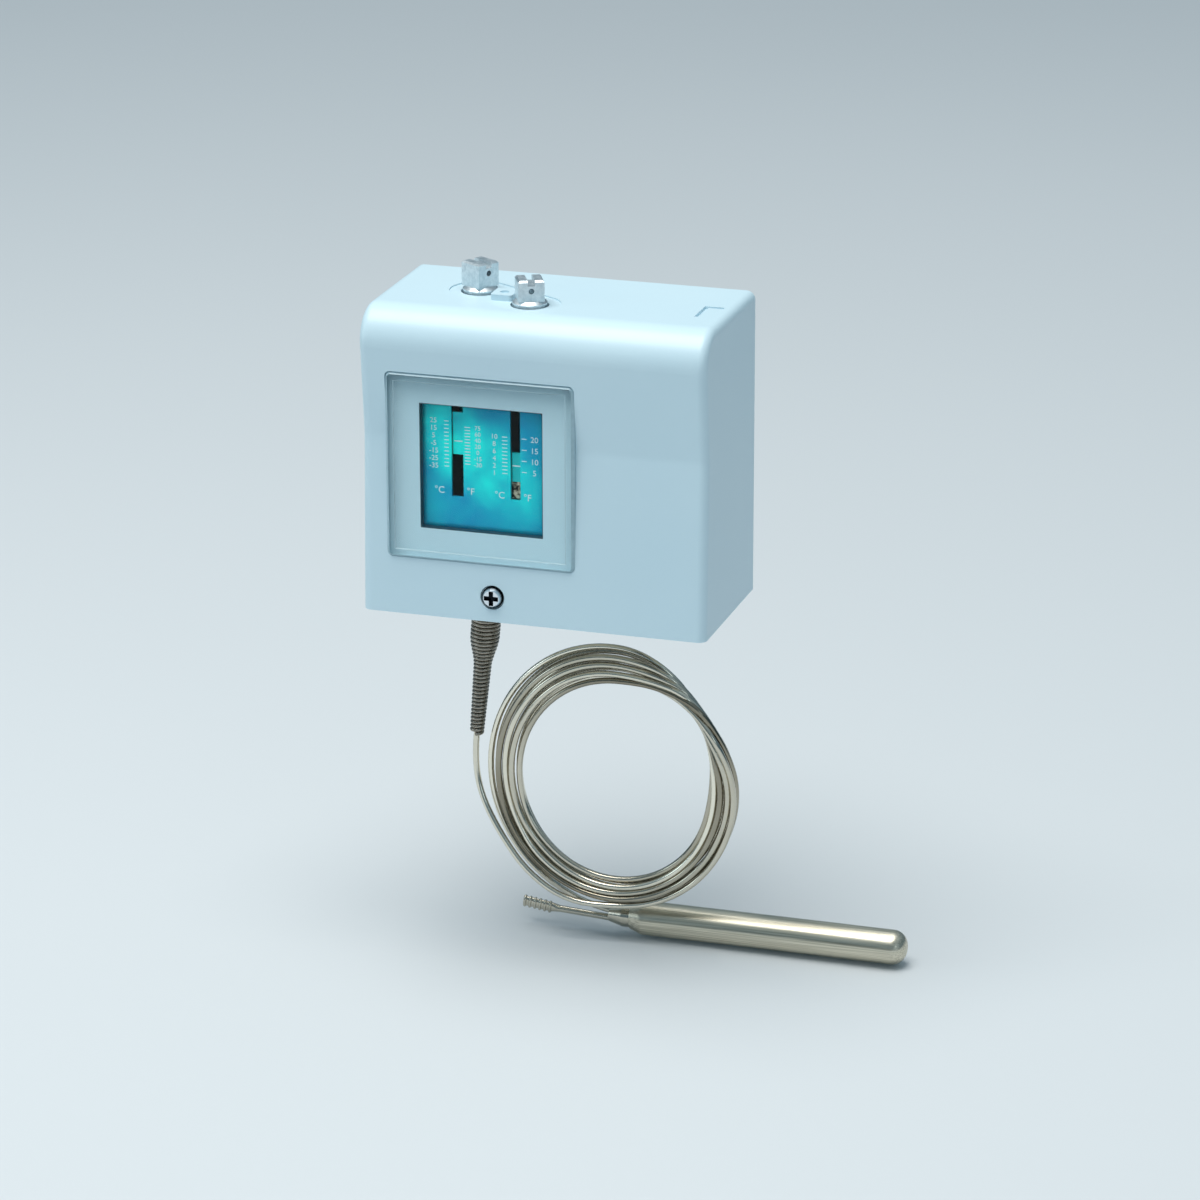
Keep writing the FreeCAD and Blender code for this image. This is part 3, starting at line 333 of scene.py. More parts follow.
def new_recipe(name, inputs):
    """An empty Geometry Nodes tree with named inputs, its input node and the identifiers of its sockets."""
    tree = bpy.data.node_groups.new(name, "GeometryNodeTree")
    tree.interface.new_socket("Geometry", in_out="OUTPUT", socket_type="NodeSocketGeometry")
    known = {
        label: tree.interface.new_socket(label, in_out="INPUT", socket_type="NodeSocket" + kind).identifier
        for label, kind in inputs.items()}
    return tree, tree.nodes.new("NodeGroupInput").outputs, known


def end_recipe(tree, geometry, material):
    """Make instances real, give the material and connect the output."""
    real = add_node(tree, "GeometryNodeRealizeInstances", {"Geometry": geometry})
    dressed = add_node(tree, "GeometryNodeSetMaterial", {"Geometry": real.outputs[0], "Material": material})
    add_node(tree, "NodeGroupOutput", {"Geometry": dressed.outputs[0]})


def grow(name, tree, known, values, turn=None):
    """Run a recipe with these values and keep what it makes as a plain mesh, turned and moved by a matrix."""
    seed = add_piece(name + "_seed", bpy.data.meshes.new(name + "_seed"))
    modifier = seed.modifiers.new("recipe", "NODES")
    modifier.node_group = tree
    for label, value in values.items():
        modifier[known[label]] = value
    mesh = as_mesh(seed)
    if turn:
        mesh.transform(turn)
    print(name, len(mesh.polygons), "faces")
    return add_piece(name, mesh)


# %% [markdown]
# ## Plated and drawn steel
# Most of the metal here is steel with a thin bright finish. What gives each one away is how it was made: a
# drawn tube has fine lines along it, a turned screw has rings, and zinc plate has a faintly mottled, warmer
# grey.

# %% Drawn stainless steel of the capillary
# Drawn 304 stainless: warm grey, bright but not a mirror, and dulled here and there by handling. Each strand
# of the coil shows another stretch of the tube, a little darker or brighter, so the tube's mesh carries a
# tone along its length: two waves, each with its strength, its cycles a turn and its phase. Where a piece has
# no tone, the Attribute node gives 0, the middle of the range.
drawn_stainless, tree, shader, spot = new_finish("drawn_stainless_tube", Metallic=1, Roughness=0.24)
HANDLING_SPOT = 9 * mm
dulled = add_node(tree, "ShaderNodeTexNoise", {"Vector": spot, "Scale": 1 / HANDLING_SPOT, "Detail": 3})
TONE_WAVES = ((0.55, 0.37, 0), (0.45, 1.3, 1))
stretch = add_node(tree, "ShaderNodeAttribute", attribute_name="tone")
share = add_node(tree, "ShaderNodeMapRange", {
    "Value": stretch.outputs["Fac"], "From Min": -1, "To Min": 0, "To Max": 0.8})
patchy = add_node(tree, "ShaderNodeMath", {0: dulled.outputs["Fac"], 1: 0.2, 2: share.outputs["Result"]},
                  operation="MULTIPLY_ADD")
tone = add_node(tree, "ShaderNodeValToRGB", {"Fac": patchy.outputs[0]})
tone.color_ramp.elements[0].position = 0.1
tone.color_ramp.elements[0].color = linear("#8A8373")
tone.color_ramp.elements[1].position = 0.85
tone.color_ramp.elements[1].color = linear("#EEE8D8")
shine = add_node(tree, "ShaderNodeMapRange", {"Value": dulled.outputs["Fac"], "To Min": 0.13, "To Max": 0.24})
feed(tree, shader, "Base Color", tone.outputs["Color"])
feed(tree, shader, "Roughness", shine.outputs["Result"])
capillary.data.materials.clear()
capillary.data.materials.append(drawn_stainless)
side_count = len(capillary.data.vertices) // len(centre_line)
tones = capillary.data.attributes.new("tone", "FLOAT", "POINT")
for i, value in enumerate(tones.data):
    turn = min(i // side_count / len(centre_line), 1) * TURNS
    value.value = sum(strength * math.sin(2 * math.pi * cycles * turn + phase)
                      for strength, cycles, phase in TONE_WAVES)
print("tube:", len(capillary.data.vertices), "vertices,", side_count, "round")

# %% Satin stainless steel of the bulb
# The bulb is drawn and then brushed lengthwise: long fine streaks that stretch every highlight along it.
brushed_stainless, tree, shader, spot = new_finish("brushed_stainless_bulb", Metallic=1, Anisotropic=0.4)
STREAK_WIDTH = 0.35 * mm
STREAK_LENGTH = 30 * mm
streaked = add_node(tree, "ShaderNodeMapping", {
    "Vector": spot, "Scale": (1 / STREAK_LENGTH, 1 / STREAK_WIDTH, 1 / STREAK_WIDTH)})
streaks = add_node(tree, "ShaderNodeTexNoise", {"Vector": streaked.outputs[0], "Scale": 1, "Detail": 4})
tone = add_node(tree, "ShaderNodeValToRGB", {"Fac": streaks.outputs["Fac"]})
tone.color_ramp.elements[0].position = 0.3
tone.color_ramp.elements[0].color = linear("#B2AC99")
tone.color_ramp.elements[1].position = 0.7
tone.color_ramp.elements[1].color = linear("#E6E0CE")
shine = add_node(tree, "ShaderNodeMapRange", {
    "Value": streaks.outputs["Fac"], "To Min": 0.28, "To Max": 0.42})
relief = add_node(tree, "ShaderNodeBump", {
    "Height": streaks.outputs["Fac"], "Strength": 0.12, "Distance": 0.05 * mm})
feed(tree, shader, "Base Color", tone.outputs["Color"])
feed(tree, shader, "Roughness", shine.outputs["Result"])
feed(tree, shader, "Normal", relief.outputs["Normal"])

# %% Nickel plate of the spindles, bushes and screws
# Satin nickel over turned steel and brass: cool, with faint tool rings round the axis and small dull patches.
# Real tool rings are about 0.1 mm apart; they are drawn at 1.9 mm so that they show. A wave texture turns
# through 20 radians for each unit of its scale.
satin_nickel, tree, shader, spot = new_finish("satin_nickel_plate", Metallic=1)
TOOL_RING = 1.885 * mm
DULL_PATCH = 1.6 * mm
RADIANS_A_UNIT = 20
patches = add_node(tree, "ShaderNodeTexNoise", {
    "Vector": spot, "Scale": 1 / DULL_PATCH, "Detail": 5, "Roughness": 0.6})
rings = add_node(tree, "ShaderNodeTexWave", {
    "Vector": spot, "Scale": 2 * math.pi / RADIANS_A_UNIT / TOOL_RING, "Distortion": 2}, bands_direction="Z")
tone = add_node(tree, "ShaderNodeValToRGB", {"Fac": patches.outputs["Fac"]})
tone.color_ramp.elements[0].position = 0.3
tone.color_ramp.elements[0].color = linear("#CBD6DB")
tone.color_ramp.elements[1].position = 0.7
tone.color_ramp.elements[1].color = linear("#F1F7F9")
shine = add_node(tree, "ShaderNodeMapRange", {
    "Value": patches.outputs["Fac"], "To Min": 0.34, "To Max": 0.52})
relief = add_node(tree, "ShaderNodeBump", {
    "Height": rings.outputs["Fac"], "Strength": 0.15, "Distance": 0.03 * mm})
feed(tree, shader, "Base Color", tone.outputs["Color"])
feed(tree, shader, "Roughness", shine.outputs["Result"])
feed(tree, shader, "Normal", relief.outputs["Normal"])

# %% Zinc-plated sheet steel of the frame, bracket and lever
# Passivated zinc: a soft warm grey with a slight yellow and green cast that changes from spot to spot.
zinc_sheet = mottled_finish("zinc_plated_sheet", 7 * mm, 4, ("#9C9E97", "#C9C9BC"), (0.3, 0.5), Metallic=1)

# %% Oiled spring steel
# Hard-drawn spring wire keeps a thin oil film: dark grey, smooth, with a narrow bright line on every turn.
spring_wire = mottled_finish("oiled_spring_steel", 3 * mm, 3, ("#6E685F", "#B5AEA2"), (0.2, 0.36), Metallic=1)

# %% Turned brass
# Free-cutting brass of the nipple, bellows and contacts: yellow, bright, a little browner where it has
# tarnished.
turned_brass = mottled_finish("turned_brass", 4 * mm, 4, ("#A8843F", "#DDBE74"), (0.2, 0.38), Metallic=1)

# %% [markdown]
# ## Plastics, enamel and print
# The hood is moulded in ABS with a fine satin texture, cut into the mould by spark erosion. The window is
# polished acrylic. Behind it stands an aluminium scale plate in teal enamel, with the scales printed in
# white.

# %% Satin moulded ABS of the hood
# Cool white, matt enough to hide fingerprints. The real grain is about 0.1 mm; it is drawn at 0.4 mm so that
# it shows. The walls of the opening round the scale plate are painted dark, as painted shade in the rebate.
moulded_abs, tree, shader, spot = new_finish("moulded_white_abs", IOR=1.54)
GRAIN = 0.4 * mm
CAST = 40 * mm
OPENING_CENTRE = place(-15.1, 0, 43.3)
OPENING_HALF = (17.9 * mm, 18.1 * mm)
grain = add_node(tree, "ShaderNodeTexNoise", {"Vector": spot, "Scale": 1 / GRAIN, "Detail": 2})
cast = add_node(tree, "ShaderNodeTexNoise", {"Vector": spot, "Scale": 1 / CAST, "Detail": 1})
tone = add_node(tree, "ShaderNodeValToRGB", {"Fac": cast.outputs["Fac"]})
tone.color_ramp.elements[0].color = linear("#C3DDE8")
tone.color_ramp.elements[1].color = linear("#CAE2EB")
from_centre = add_node(tree, "ShaderNodeVectorMath", {0: spot, 1: OPENING_CENTRE}, operation="SUBTRACT")
beside = add_node(tree, "ShaderNodeVectorMath", {0: from_centre.outputs[0]}, operation="ABSOLUTE")
reach = add_node(tree, "ShaderNodeSeparateXYZ", {"Vector": beside.outputs[0]})
within_width = add_node(tree, "ShaderNodeMath", {0: reach.outputs["X"], 1: OPENING_HALF[0]},
                        operation="LESS_THAN")
within_height = add_node(tree, "ShaderNodeMath", {0: reach.outputs["Z"], 1: OPENING_HALF[1]},
                         operation="LESS_THAN")
rebate = add_node(tree, "ShaderNodeMath", {0: within_width.outputs[0], 1: within_height.outputs[0]},
                  operation="MULTIPLY")
# Painted shade: inside the opening's outline the hood is mixed towards dark blue-grey, so the rebate's walls
# look shaded.
rebate_painted_shade = add_node(tree, "ShaderNodeMix", {
    0: rebate.outputs[0], 6: tone.outputs["Color"], 7: linear("#1F3A45")}, data_type="RGBA")
shine = add_node(tree, "ShaderNodeMapRange", {"Value": grain.outputs["Fac"], "To Min": 0.3, "To Max": 0.42})
relief = add_node(tree, "ShaderNodeBump", {
    "Height": grain.outputs["Fac"], "Strength": 0.06, "Distance": 0.04 * mm})
feed(tree, shader, "Base Color", rebate_painted_shade.outputs[2])
feed(tree, shader, "Roughness", shine.outputs["Result"])
feed(tree, shader, "Normal", relief.outputs["Normal"])

# %% Clear acrylic of the window
# Polished acrylic bends light like glass but a little less. Lamps shine straight through it, which a Light
# Path node says, so that the scale behind it isn't in the dark.
clear_acrylic, tree, shader, spot = new_finish("clear_polished_acrylic", Transmission_Weight=1, IOR=1.49)
WIPE = 12 * mm
wipes = add_node(tree, "ShaderNodeTexNoise", {"Vector": spot, "Scale": 1 / WIPE, "Detail": 3})
shine = add_node(tree, "ShaderNodeMapRange", {"Value": wipes.outputs["Fac"], "To Min": 0.01, "To Max": 0.06})
feed(tree, shader, "Roughness", shine.outputs["Result"])
shader.inputs["Base Color"].default_value = linear("#F2F9FA")
shader.inputs["Specular Tint"].default_value = linear("#5F686C")
lamps = add_node(tree, "ShaderNodeLightPath").outputs["Is Shadow Ray"]
clear = add_node(tree, "ShaderNodeBsdfTransparent", {"Color": linear("#FFFFFF")})
through = add_node(tree, "ShaderNodeMixShader", {0: lamps, 1: shader.outputs[0], 2: clear.outputs[0]})
tree.links.new(through.outputs[0], tree.nodes["Material Output"].inputs["Surface"])

# %% Satin edge of the acrylic
# Round its edge the moulding is left satin: it scatters light, so the edge shows as a blue-grey line.
satin_acrylic = mottled_finish("satin_acrylic_edge", 2 * mm, 2, ("#93B0BB", "#B0CBD4"), (0.25, 0.4), IOR=1.49)

# %% Teal enamel of the scale plate
# Baked enamel on sheet aluminium: glossy and saturated. A painted highlight makes it brightest along one
# slanting streak and darker away from it, towards the corners, and painted shade darkens it along the edges
# of the opening.
teal_enamel, tree, shader, spot = new_finish("teal_enamel", Metallic=0.1, Coat_Weight=0.1,
                                             Coat_Roughness=0.12, Specular_IOR_Level=0.25)
EDGE = 1.4 * mm
# Painted highlight: the slanting streak is the lamp's glare, put into the enamel's colour by position.
GLARE_LEAN = (0.6, 0.8)
GLARE_CENTRE = OPENING_CENTRE + Vector((-5, 0, 5)) * mm
GLARE_WIDTH = 13 * mm
GLARE_LENGTH = 30 * mm
from_centre = add_node(tree, "ShaderNodeVectorMath", {0: spot, 1: OPENING_CENTRE},
                       operation="SUBTRACT").outputs[0]
from_glare = add_node(tree, "ShaderNodeVectorMath", {0: spot, 1: GLARE_CENTRE}, operation="SUBTRACT").outputs[0]
across, along = (
    add_node(tree, "ShaderNodeVectorMath", {
        0: from_glare, 1: (GLARE_LEAN[0] / size, 0, tilt * GLARE_LEAN[1] / size)},
        operation="DOT_PRODUCT").outputs["Value"]
    for size, tilt in ((GLARE_WIDTH, 1), (GLARE_LENGTH, -1)))
glare_offset = add_node(tree, "ShaderNodeCombineXYZ", {"X": across, "Y": along})
off_glare = add_node(tree, "ShaderNodeVectorMath", {0: glare_offset.outputs[0]},
                      operation="LENGTH").outputs["Value"]
ENAMEL_FLOW = 8 * mm
flow = add_node(tree, "ShaderNodeTexNoise", {"Vector": spot, "Scale": 1 / ENAMEL_FLOW, "Detail": 3})
glare_falloff = add_node(tree, "ShaderNodeMapRange", {"Value": off_glare, "To Min": 1.35, "To Max": 0.35})
painted_glare = add_node(tree, "ShaderNodeMath", {0: glare_falloff.outputs["Result"], 1: flow.outputs["Fac"]},
                    operation="MULTIPLY")
tone = add_node(tree, "ShaderNodeValToRGB", {"Fac": painted_glare.outputs[0]})
tone.color_ramp.elements[0].position = 0.1
tone.color_ramp.elements[0].color = linear("#0AA0CC")
tone.color_ramp.elements[1].position = 0.62
tone.color_ramp.elements[1].color = linear("#20FFF6")
# Painted shade: within EDGE of the opening's sides and ends the enamel is mixed towards dark blue.
beside = add_node(tree, "ShaderNodeVectorMath", {0: from_centre}, operation="ABSOLUTE")
reach = add_node(tree, "ShaderNodeSeparateXYZ", {"Vector": beside.outputs[0]})
to_side = add_node(tree, "ShaderNodeMapRange", {
    "Value": reach.outputs["X"], "From Min": OPENING_HALF[0] - EDGE, "From Max": OPENING_HALF[0],
    "To Max": 0.8})
to_end = add_node(tree, "ShaderNodeMapRange", {
    "Value": reach.outputs["Z"], "From Min": OPENING_HALF[1] - EDGE, "From Max": OPENING_HALF[1],
    "To Max": 0.8})
edge = add_node(tree, "ShaderNodeMath", {0: to_side.outputs["Result"], 1: to_end.outputs["Result"]},
                operation="MAXIMUM")
edge_painted_shade = add_node(tree, "ShaderNodeMix", {0: edge.outputs[0], 6: tone.outputs["Color"], 7: linear("#063B57")},
                data_type="RGBA")
shine = add_node(tree, "ShaderNodeMapRange", {"Value": flow.outputs["Fac"], "To Min": 0.35, "To Max": 0.5})
feed(tree, shader, "Base Color", edge_painted_shade.outputs[2])
feed(tree, shader, "Roughness", shine.outputs["Result"])

# %% White ink of the scales
# Screen-printed ink: flat, opaque, thinner in places.
white_ink = mottled_finish("white_printing_ink", 0.5 * mm, 2, ("#BFE3E6", "#F4FAFA"), Roughness=0.6)

# %% Chromium-plated steel of the cover screw
# The one screw that the user sees is chromium plated: almost a mirror, bluish. Its cross recess is painted
# dark, as painted shade.
chromed_steel, tree, shader, spot = new_finish("chromium_plated_steel", Metallic=1)
HEAD_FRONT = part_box("cover_screw")[0].y
RECESS_SHADE_START = HEAD_FRONT + 0.3 * mm
RECESS_SHADE_FULL = HEAD_FRONT + 1.1 * mm
SCRATCH = 0.8 * mm
scratches = add_node(tree, "ShaderNodeTexNoise", {"Vector": spot, "Scale": 1 / SCRATCH, "Detail": 4})
# Painted shade: the further behind the head's front, the darker the colour, down in the cross recess.
sunk = add_node(tree, "ShaderNodeSeparateXYZ", {"Vector": spot}).outputs["Y"]
recess_shade = add_node(tree, "ShaderNodeMapRange", {
    "Value": sunk, "From Min": RECESS_SHADE_START, "From Max": RECESS_SHADE_FULL})
tone = add_node(tree, "ShaderNodeMix", {
    0: recess_shade.outputs["Result"], 6: linear("#DDE4EA"), 7: linear("#14181C")}, data_type="RGBA")
shine = add_node(tree, "ShaderNodeMapRange", {
    "Value": scratches.outputs["Fac"], "To Min": 0.06, "To Max": 0.18})
feed(tree, shader, "Base Color", tone.outputs[2])
feed(tree, shader, "Roughness", shine.outputs["Result"])

# %% Teal flag over bare metal
# The differential pointer's flag is enamelled like the plate, but its lower third is bare steel, smeared with
# old grease, that shows in the slot. Behind the flag the steel is clean.
half_enamelled, tree, shader, spot = new_finish("half_enamelled_flag", Coat_Weight=0.1, Coat_Roughness=0.15)
ENAMEL_FOOT = place(0, 0, 39.9).z
rise = add_node(tree, "ShaderNodeSeparateXYZ", {"Vector": spot}).outputs["Z"]
enamelled = add_node(tree, "ShaderNodeMath", {0: rise, 1: ENAMEL_FOOT}, operation="GREATER_THAN").outputs[0]
SMEAR = 1.1 * mm
smears = add_node(tree, "ShaderNodeTexNoise", {"Vector": spot, "Scale": 1 / SMEAR, "Detail": 3})
bare = add_node(tree, "ShaderNodeValToRGB", {"Fac": smears.outputs["Fac"]})
bare.color_ramp.elements[0].position = 0.42
bare.color_ramp.elements[0].color = linear("#2C2A26")
bare.color_ramp.elements[1].position = 0.6
bare.color_ramp.elements[1].color = linear("#C9BDA4")
FLAG_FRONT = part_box("differential_pointer")[0].y
CLEAN_START = FLAG_FRONT + 1 * mm
CLEAN_FULL = FLAG_FRONT + 2 * mm
depth = add_node(tree, "ShaderNodeSeparateXYZ", {"Vector": spot}).outputs["Y"]
behind = add_node(tree, "ShaderNodeMapRange", {
    "Value": depth, "From Min": CLEAN_START, "From Max": CLEAN_FULL, "To Max": 0.85})
clean = add_node(tree, "ShaderNodeMix", {
    0: behind.outputs["Result"], 6: bare.outputs["Color"], 7: linear("#A39B8C")}, data_type="RGBA")
tone = add_node(tree, "ShaderNodeMix", {0: enamelled, 6: clean.outputs[2], 7: linear("#08C9CB")},
                data_type="RGBA")
steel = add_node(tree, "ShaderNodeMapRange", {"Value": enamelled, "To Min": 1, "To Max": 0.3})
shine = add_node(tree, "ShaderNodeMapRange", {"Value": smears.outputs["Fac"], "To Min": 0.25, "To Max": 0.45})
feed(tree, shader, "Base Color", tone.outputs[2])
feed(tree, shader, "Metallic", steel.outputs["Result"])
feed(tree, shader, "Roughness", shine.outputs["Result"])

# %% Black phenolic of the switch block
# Compression-moulded phenolic: near black, semi-gloss, with faint brown flow marks.
black_phenolic = mottled_finish("black_phenolic", 5 * mm, 4, ("#171615", "#2B2622"), (0.28, 0.45), IOR=1.6)

# %% Moulded rubber of the grommet
# Chloroprene rubber: dull black with a dusty bloom.
bloomed_rubber = mottled_finish("bloomed_black_rubber", 2 * mm, 5, ("#1C1C1D", "#3A3B3C"), Roughness=0.75)

# %% Give the CAD nodes their finishes
finishes = {
    moulded_abs: "hood",
    clear_acrylic: "window",
    zinc_sheet: "mounting_frame pivot_bracket main_lever",
    chromed_steel: "cover_screw",
    satin_nickel: "scale_plate_screws range_spindle differential_spindle spindle_bushes lever_pin "
                  "contact_arm_pin terminal_screws switch_screws earth_screw",
    teal_enamel: "scale_plate range_pointer",
    half_enamelled: "differential_pointer",
    spring_wire: "range_clip differential_clip",
    turned_brass: "bellows_base thrust_pad capillary_nipple contact_arm fixed_contacts terminal_clamps",
    drawn_stainless: "capillary_inlet bulb_plug filling_tube",
    brushed_stainless: "sensing_bulb",
    black_phenolic: "switch_body switch_plunger",
    bloomed_rubber: "cable_grommet",
}
for finish, names in finishes.items():
    for name in names.split():
        for slot in nodes[name].material_slots:
            slot.material = finish
print("finished nodes:", sum(len(names.split()) for names in finishes.values()))

# %% [markdown]
# ## The window pane
# The CAD window is a plain plate that lies on its seat. Between two faces that touch, light is trapped and
# the seat looks dark. The real pane is a moulding that bears only here and there, so it is built again, ring
# by ring from back to front: a thin gap of air behind it, a chamfered edge, and just inside the edge a
# shallow step that shows as a fine line.

# %% Window pane
PANE_CORNER = 1.7 * mm
PANE_CHAMFER = 0.8 * mm
AIR_GAP = 0.1 * mm
STEP_INSIDE = 2.4 * mm
STEP_RUN = 0.25 * mm
STEP_DEPTH = 0.2 * mm
CORNER_POINTS = 7
SATIN_BANDS = (0, 1, 3)
LEAST_CORNER = 0.3 * mm
pane_low, pane_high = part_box("window")


def rounded_ring(shape, inset, y):
    """Vertices of a rectangle with round corners, drawn in from the window's outline by the inset."""
    corner = max(PANE_CORNER - inset, LEAST_CORNER)
    middle = (pane_low + pane_high) / 2
    half = (pane_high - pane_low) / 2
    ring = []
    for quarter, (side, end) in enumerate(((1, 1), (-1, 1), (-1, -1), (1, -1))):
        for i in range(CORNER_POINTS):
            angle = math.pi / 2 * (quarter + i / (CORNER_POINTS - 1))
            x = middle.x + side * (half.x - inset - corner) + corner * math.cos(angle)
            z = middle.z + end * (half.z - inset - corner) + corner * math.sin(angle)
            ring.append(shape.verts.new((x, y, z)))
    return ring


shape = bmesh.new()
pane_rings = [rounded_ring(shape, inset, y) for inset, y in (
    (0, pane_high.y - AIR_GAP), (0, pane_low.y + PANE_CHAMFER), (PANE_CHAMFER, pane_low.y),
    (STEP_INSIDE, pane_low.y), (STEP_INSIDE + STEP_RUN, pane_low.y + STEP_DEPTH))]
for band, (outer, inner) in enumerate(zip(pane_rings, pane_rings[1:])):
    for i in range(len(outer)):
        face = shape.faces.new((outer[i - 1], outer[i], inner[i], inner[i - 1]))
        face.material_index = int(band in SATIN_BANDS)
shape.faces.new(pane_rings[0])
shape.faces.new(pane_rings[-1])
bmesh.ops.recalc_face_normals(shape, faces=shape.faces)
pane_mesh = bpy.data.meshes.new("window_pane")
shape.to_mesh(pane_mesh)
shape.free()
pane_mesh.materials.append(clear_acrylic)
pane_mesh.materials.append(satin_acrylic)
window_pane = add_piece("window_pane", pane_mesh)
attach(window_pane, "housing")
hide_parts("window")
print("window pane:", len(pane_mesh.polygons), "faces")

# %% [markdown]
# ## The anti-kink spring
# Where a stiff thin tube leaves a housing, a close-wound spring keeps it from folding. It is one wire: wide
# turns over the nipple, a taper, then turns that grip the tube. The recipe bends a straight line into a helix
# by setting the place of each point from how far along the line it is, which is simple and follows the taper
# for free.

# %% Recipe of a wound spring
wound_spring, given, wound_inputs = new_recipe("wound_spring", {
    "Length": "Float", "Turns": "Float", "Wire Radius": "Float", "Mouth Radius": "Float",
    "Snug Radius": "Float", "Foot Radius": "Float", "Taper Start": "Float", "Taper End": "Float",
    "Points": "Int", "Material": "Material"})
reach = add_node(wound_spring, "ShaderNodeCombineXYZ", {"Z": given["Length"]})
line = add_node(wound_spring, "GeometryNodeCurvePrimitiveLine", {"End": reach.outputs[0]})
fine = add_node(wound_spring, "GeometryNodeResampleCurve", {
    "Curve": line.outputs[0], "Count": given["Points"]})
along = add_node(wound_spring, "GeometryNodeSplineParameter").outputs["Factor"]
full = add_node(wound_spring, "ShaderNodeMath", {0: given["Turns"], 1: 2 * math.pi}, operation="MULTIPLY")
turned = add_node(wound_spring, "ShaderNodeMath", {0: full.outputs[0], 1: along},
                  operation="MULTIPLY").outputs[0]
distance = add_node(wound_spring, "ShaderNodeMath", {0: along, 1: given["Length"]},
                    operation="MULTIPLY").outputs[0]
snug = add_node(wound_spring, "ShaderNodeMapRange", {
    "Value": distance, "From Min": given["Taper End"], "From Max": given["Length"],
    "To Min": given["Snug Radius"], "To Max": given["Foot Radius"]}).outputs["Result"]
radius = add_node(wound_spring, "ShaderNodeMapRange", {
    "Value": distance, "From Min": given["Taper Start"], "From Max": given["Taper End"],
    "To Min": given["Mouth Radius"], "To Max": snug}, interpolation_type="SMOOTHSTEP").outputs["Result"]
across = add_node(wound_spring, "ShaderNodeMath", {0: turned}, operation="COSINE").outputs[0]
aside = add_node(wound_spring, "ShaderNodeMath", {0: turned}, operation="SINE").outputs[0]
out_x = add_node(wound_spring, "ShaderNodeMath", {0: across, 1: radius}, operation="MULTIPLY").outputs[0]
out_y = add_node(wound_spring, "ShaderNodeMath", {0: aside, 1: radius}, operation="MULTIPLY").outputs[0]
offset = add_node(wound_spring, "ShaderNodeCombineXYZ", {"X": out_x, "Y": out_y})
coiled = add_node(wound_spring, "GeometryNodeSetPosition", {
    "Geometry": fine.outputs[0], "Offset": offset.outputs[0]})
section = add_node(wound_spring, "GeometryNodeCurvePrimitiveCircle", {
    "Resolution": 10, "Radius": given["Wire Radius"]})
swept = add_node(wound_spring, "GeometryNodeCurveToMesh", {
    "Curve": coiled.outputs[0], "Profile Curve": section.outputs[0], "Fill Caps": True})
smooth = add_node(wound_spring, "GeometryNodeSetShadeSmooth", {"Geometry": swept.outputs[0]})
end_recipe(wound_spring, smooth.outputs[0], given["Material"])

# %% The anti-kink spring in place
spring_top = Vector((-22.1, -21.0, -43.84)) * mm
spring_foot = place(-26.2, -21.0, -44.3)
spring_line = spring_foot - spring_top
turn = Matrix.Translation(spring_top) @ spring_line.to_track_quat("Z", "Y").to_matrix().to_4x4()
KINK_TURNS = 38
POINTS_A_TURN = 24
WIRE_RADIUS = 0.55 * mm
MOUTH_RADIUS = 3.75 * mm
SNUG_RADIUS = 2.1 * mm
FOOT_RADIUS = 1.55 * mm
TAPER_START = 14.5 * mm
TAPER_END = 24 * mm
kink_spring = grow("kink_spring", wound_spring, wound_inputs, {
    "Length": spring_line.length, "Turns": float(KINK_TURNS), "Wire Radius": WIRE_RADIUS,
    "Mouth Radius": MOUTH_RADIUS, "Snug Radius": SNUG_RADIUS, "Foot Radius": FOOT_RADIUS,
    "Taper Start": TAPER_START, "Taper End": TAPER_END, "Points": KINK_TURNS * POINTS_A_TURN,
    "Material": spring_wire}, turn)
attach(kink_spring, "housing")
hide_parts("anti_kink_spring")

# %% [markdown]
# ## Springs and bellows that stretch
# Inside the hood two springs and a bellows change length as the thermostat is set. The CAD model has their
# shape, so each is copied and its loose triangles are merged. The lever under both springs tilts a little, so
# their feet stop short of it by as much as it rises.

# %% Merged copies
MERGE_DISTANCE = 0.002 * mm
RISE_NEAR = 0.45 * mm
RISE_FAR = 1.0 * mm


def stretching_copy(name, node, finish, lift):
    """A merged copy of a CAD node, its foot lifted a little, with this finish."""
    low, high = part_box(node)
    mesh = nodes[node].data.copy()
    shape = bmesh.new()
    shape.from_mesh(mesh)
    bmesh.ops.remove_doubles(shape, verts=shape.verts, dist=MERGE_DISTANCE)
    for face in shape.faces:
        face.smooth = True
    for vertex in shape.verts:
        vertex.co.z += lift * (high.z - vertex.co.z) / (high.z - low.z)
    shape.to_mesh(mesh)
    shape.free()
    mesh.materials.clear()
    mesh.materials.append(finish)
    piece = add_piece(name, mesh)
    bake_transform(piece)
    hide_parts(node)
    print(name, len(mesh.polygons), "faces")


for name, node, body, finish, material_slot, lift in (
        ("range_spring_wire", "range_spring", "range_pointer_body", spring_wire, "spring_steel", RISE_NEAR),
        ("differential_spring_wire", "differential_spring", "differential_pointer_body", spring_wire,
         "spring_steel", RISE_FAR),
        ("bellows_folds", "bellows", "thrust_pad_body", turned_brass, "brass", 0)):
    stretching_copy(name, node, finish, lift)

# %% [markdown]
# ## The printed scales
# Two pairs of scales stand beside the slots: degrees Celsius on the left of each slot and Fahrenheit on the
# right. The strokes repeat at an even pitch, so a recipe makes each row. The figures are text, turned into a
# mesh before it is put in its place on the plate.

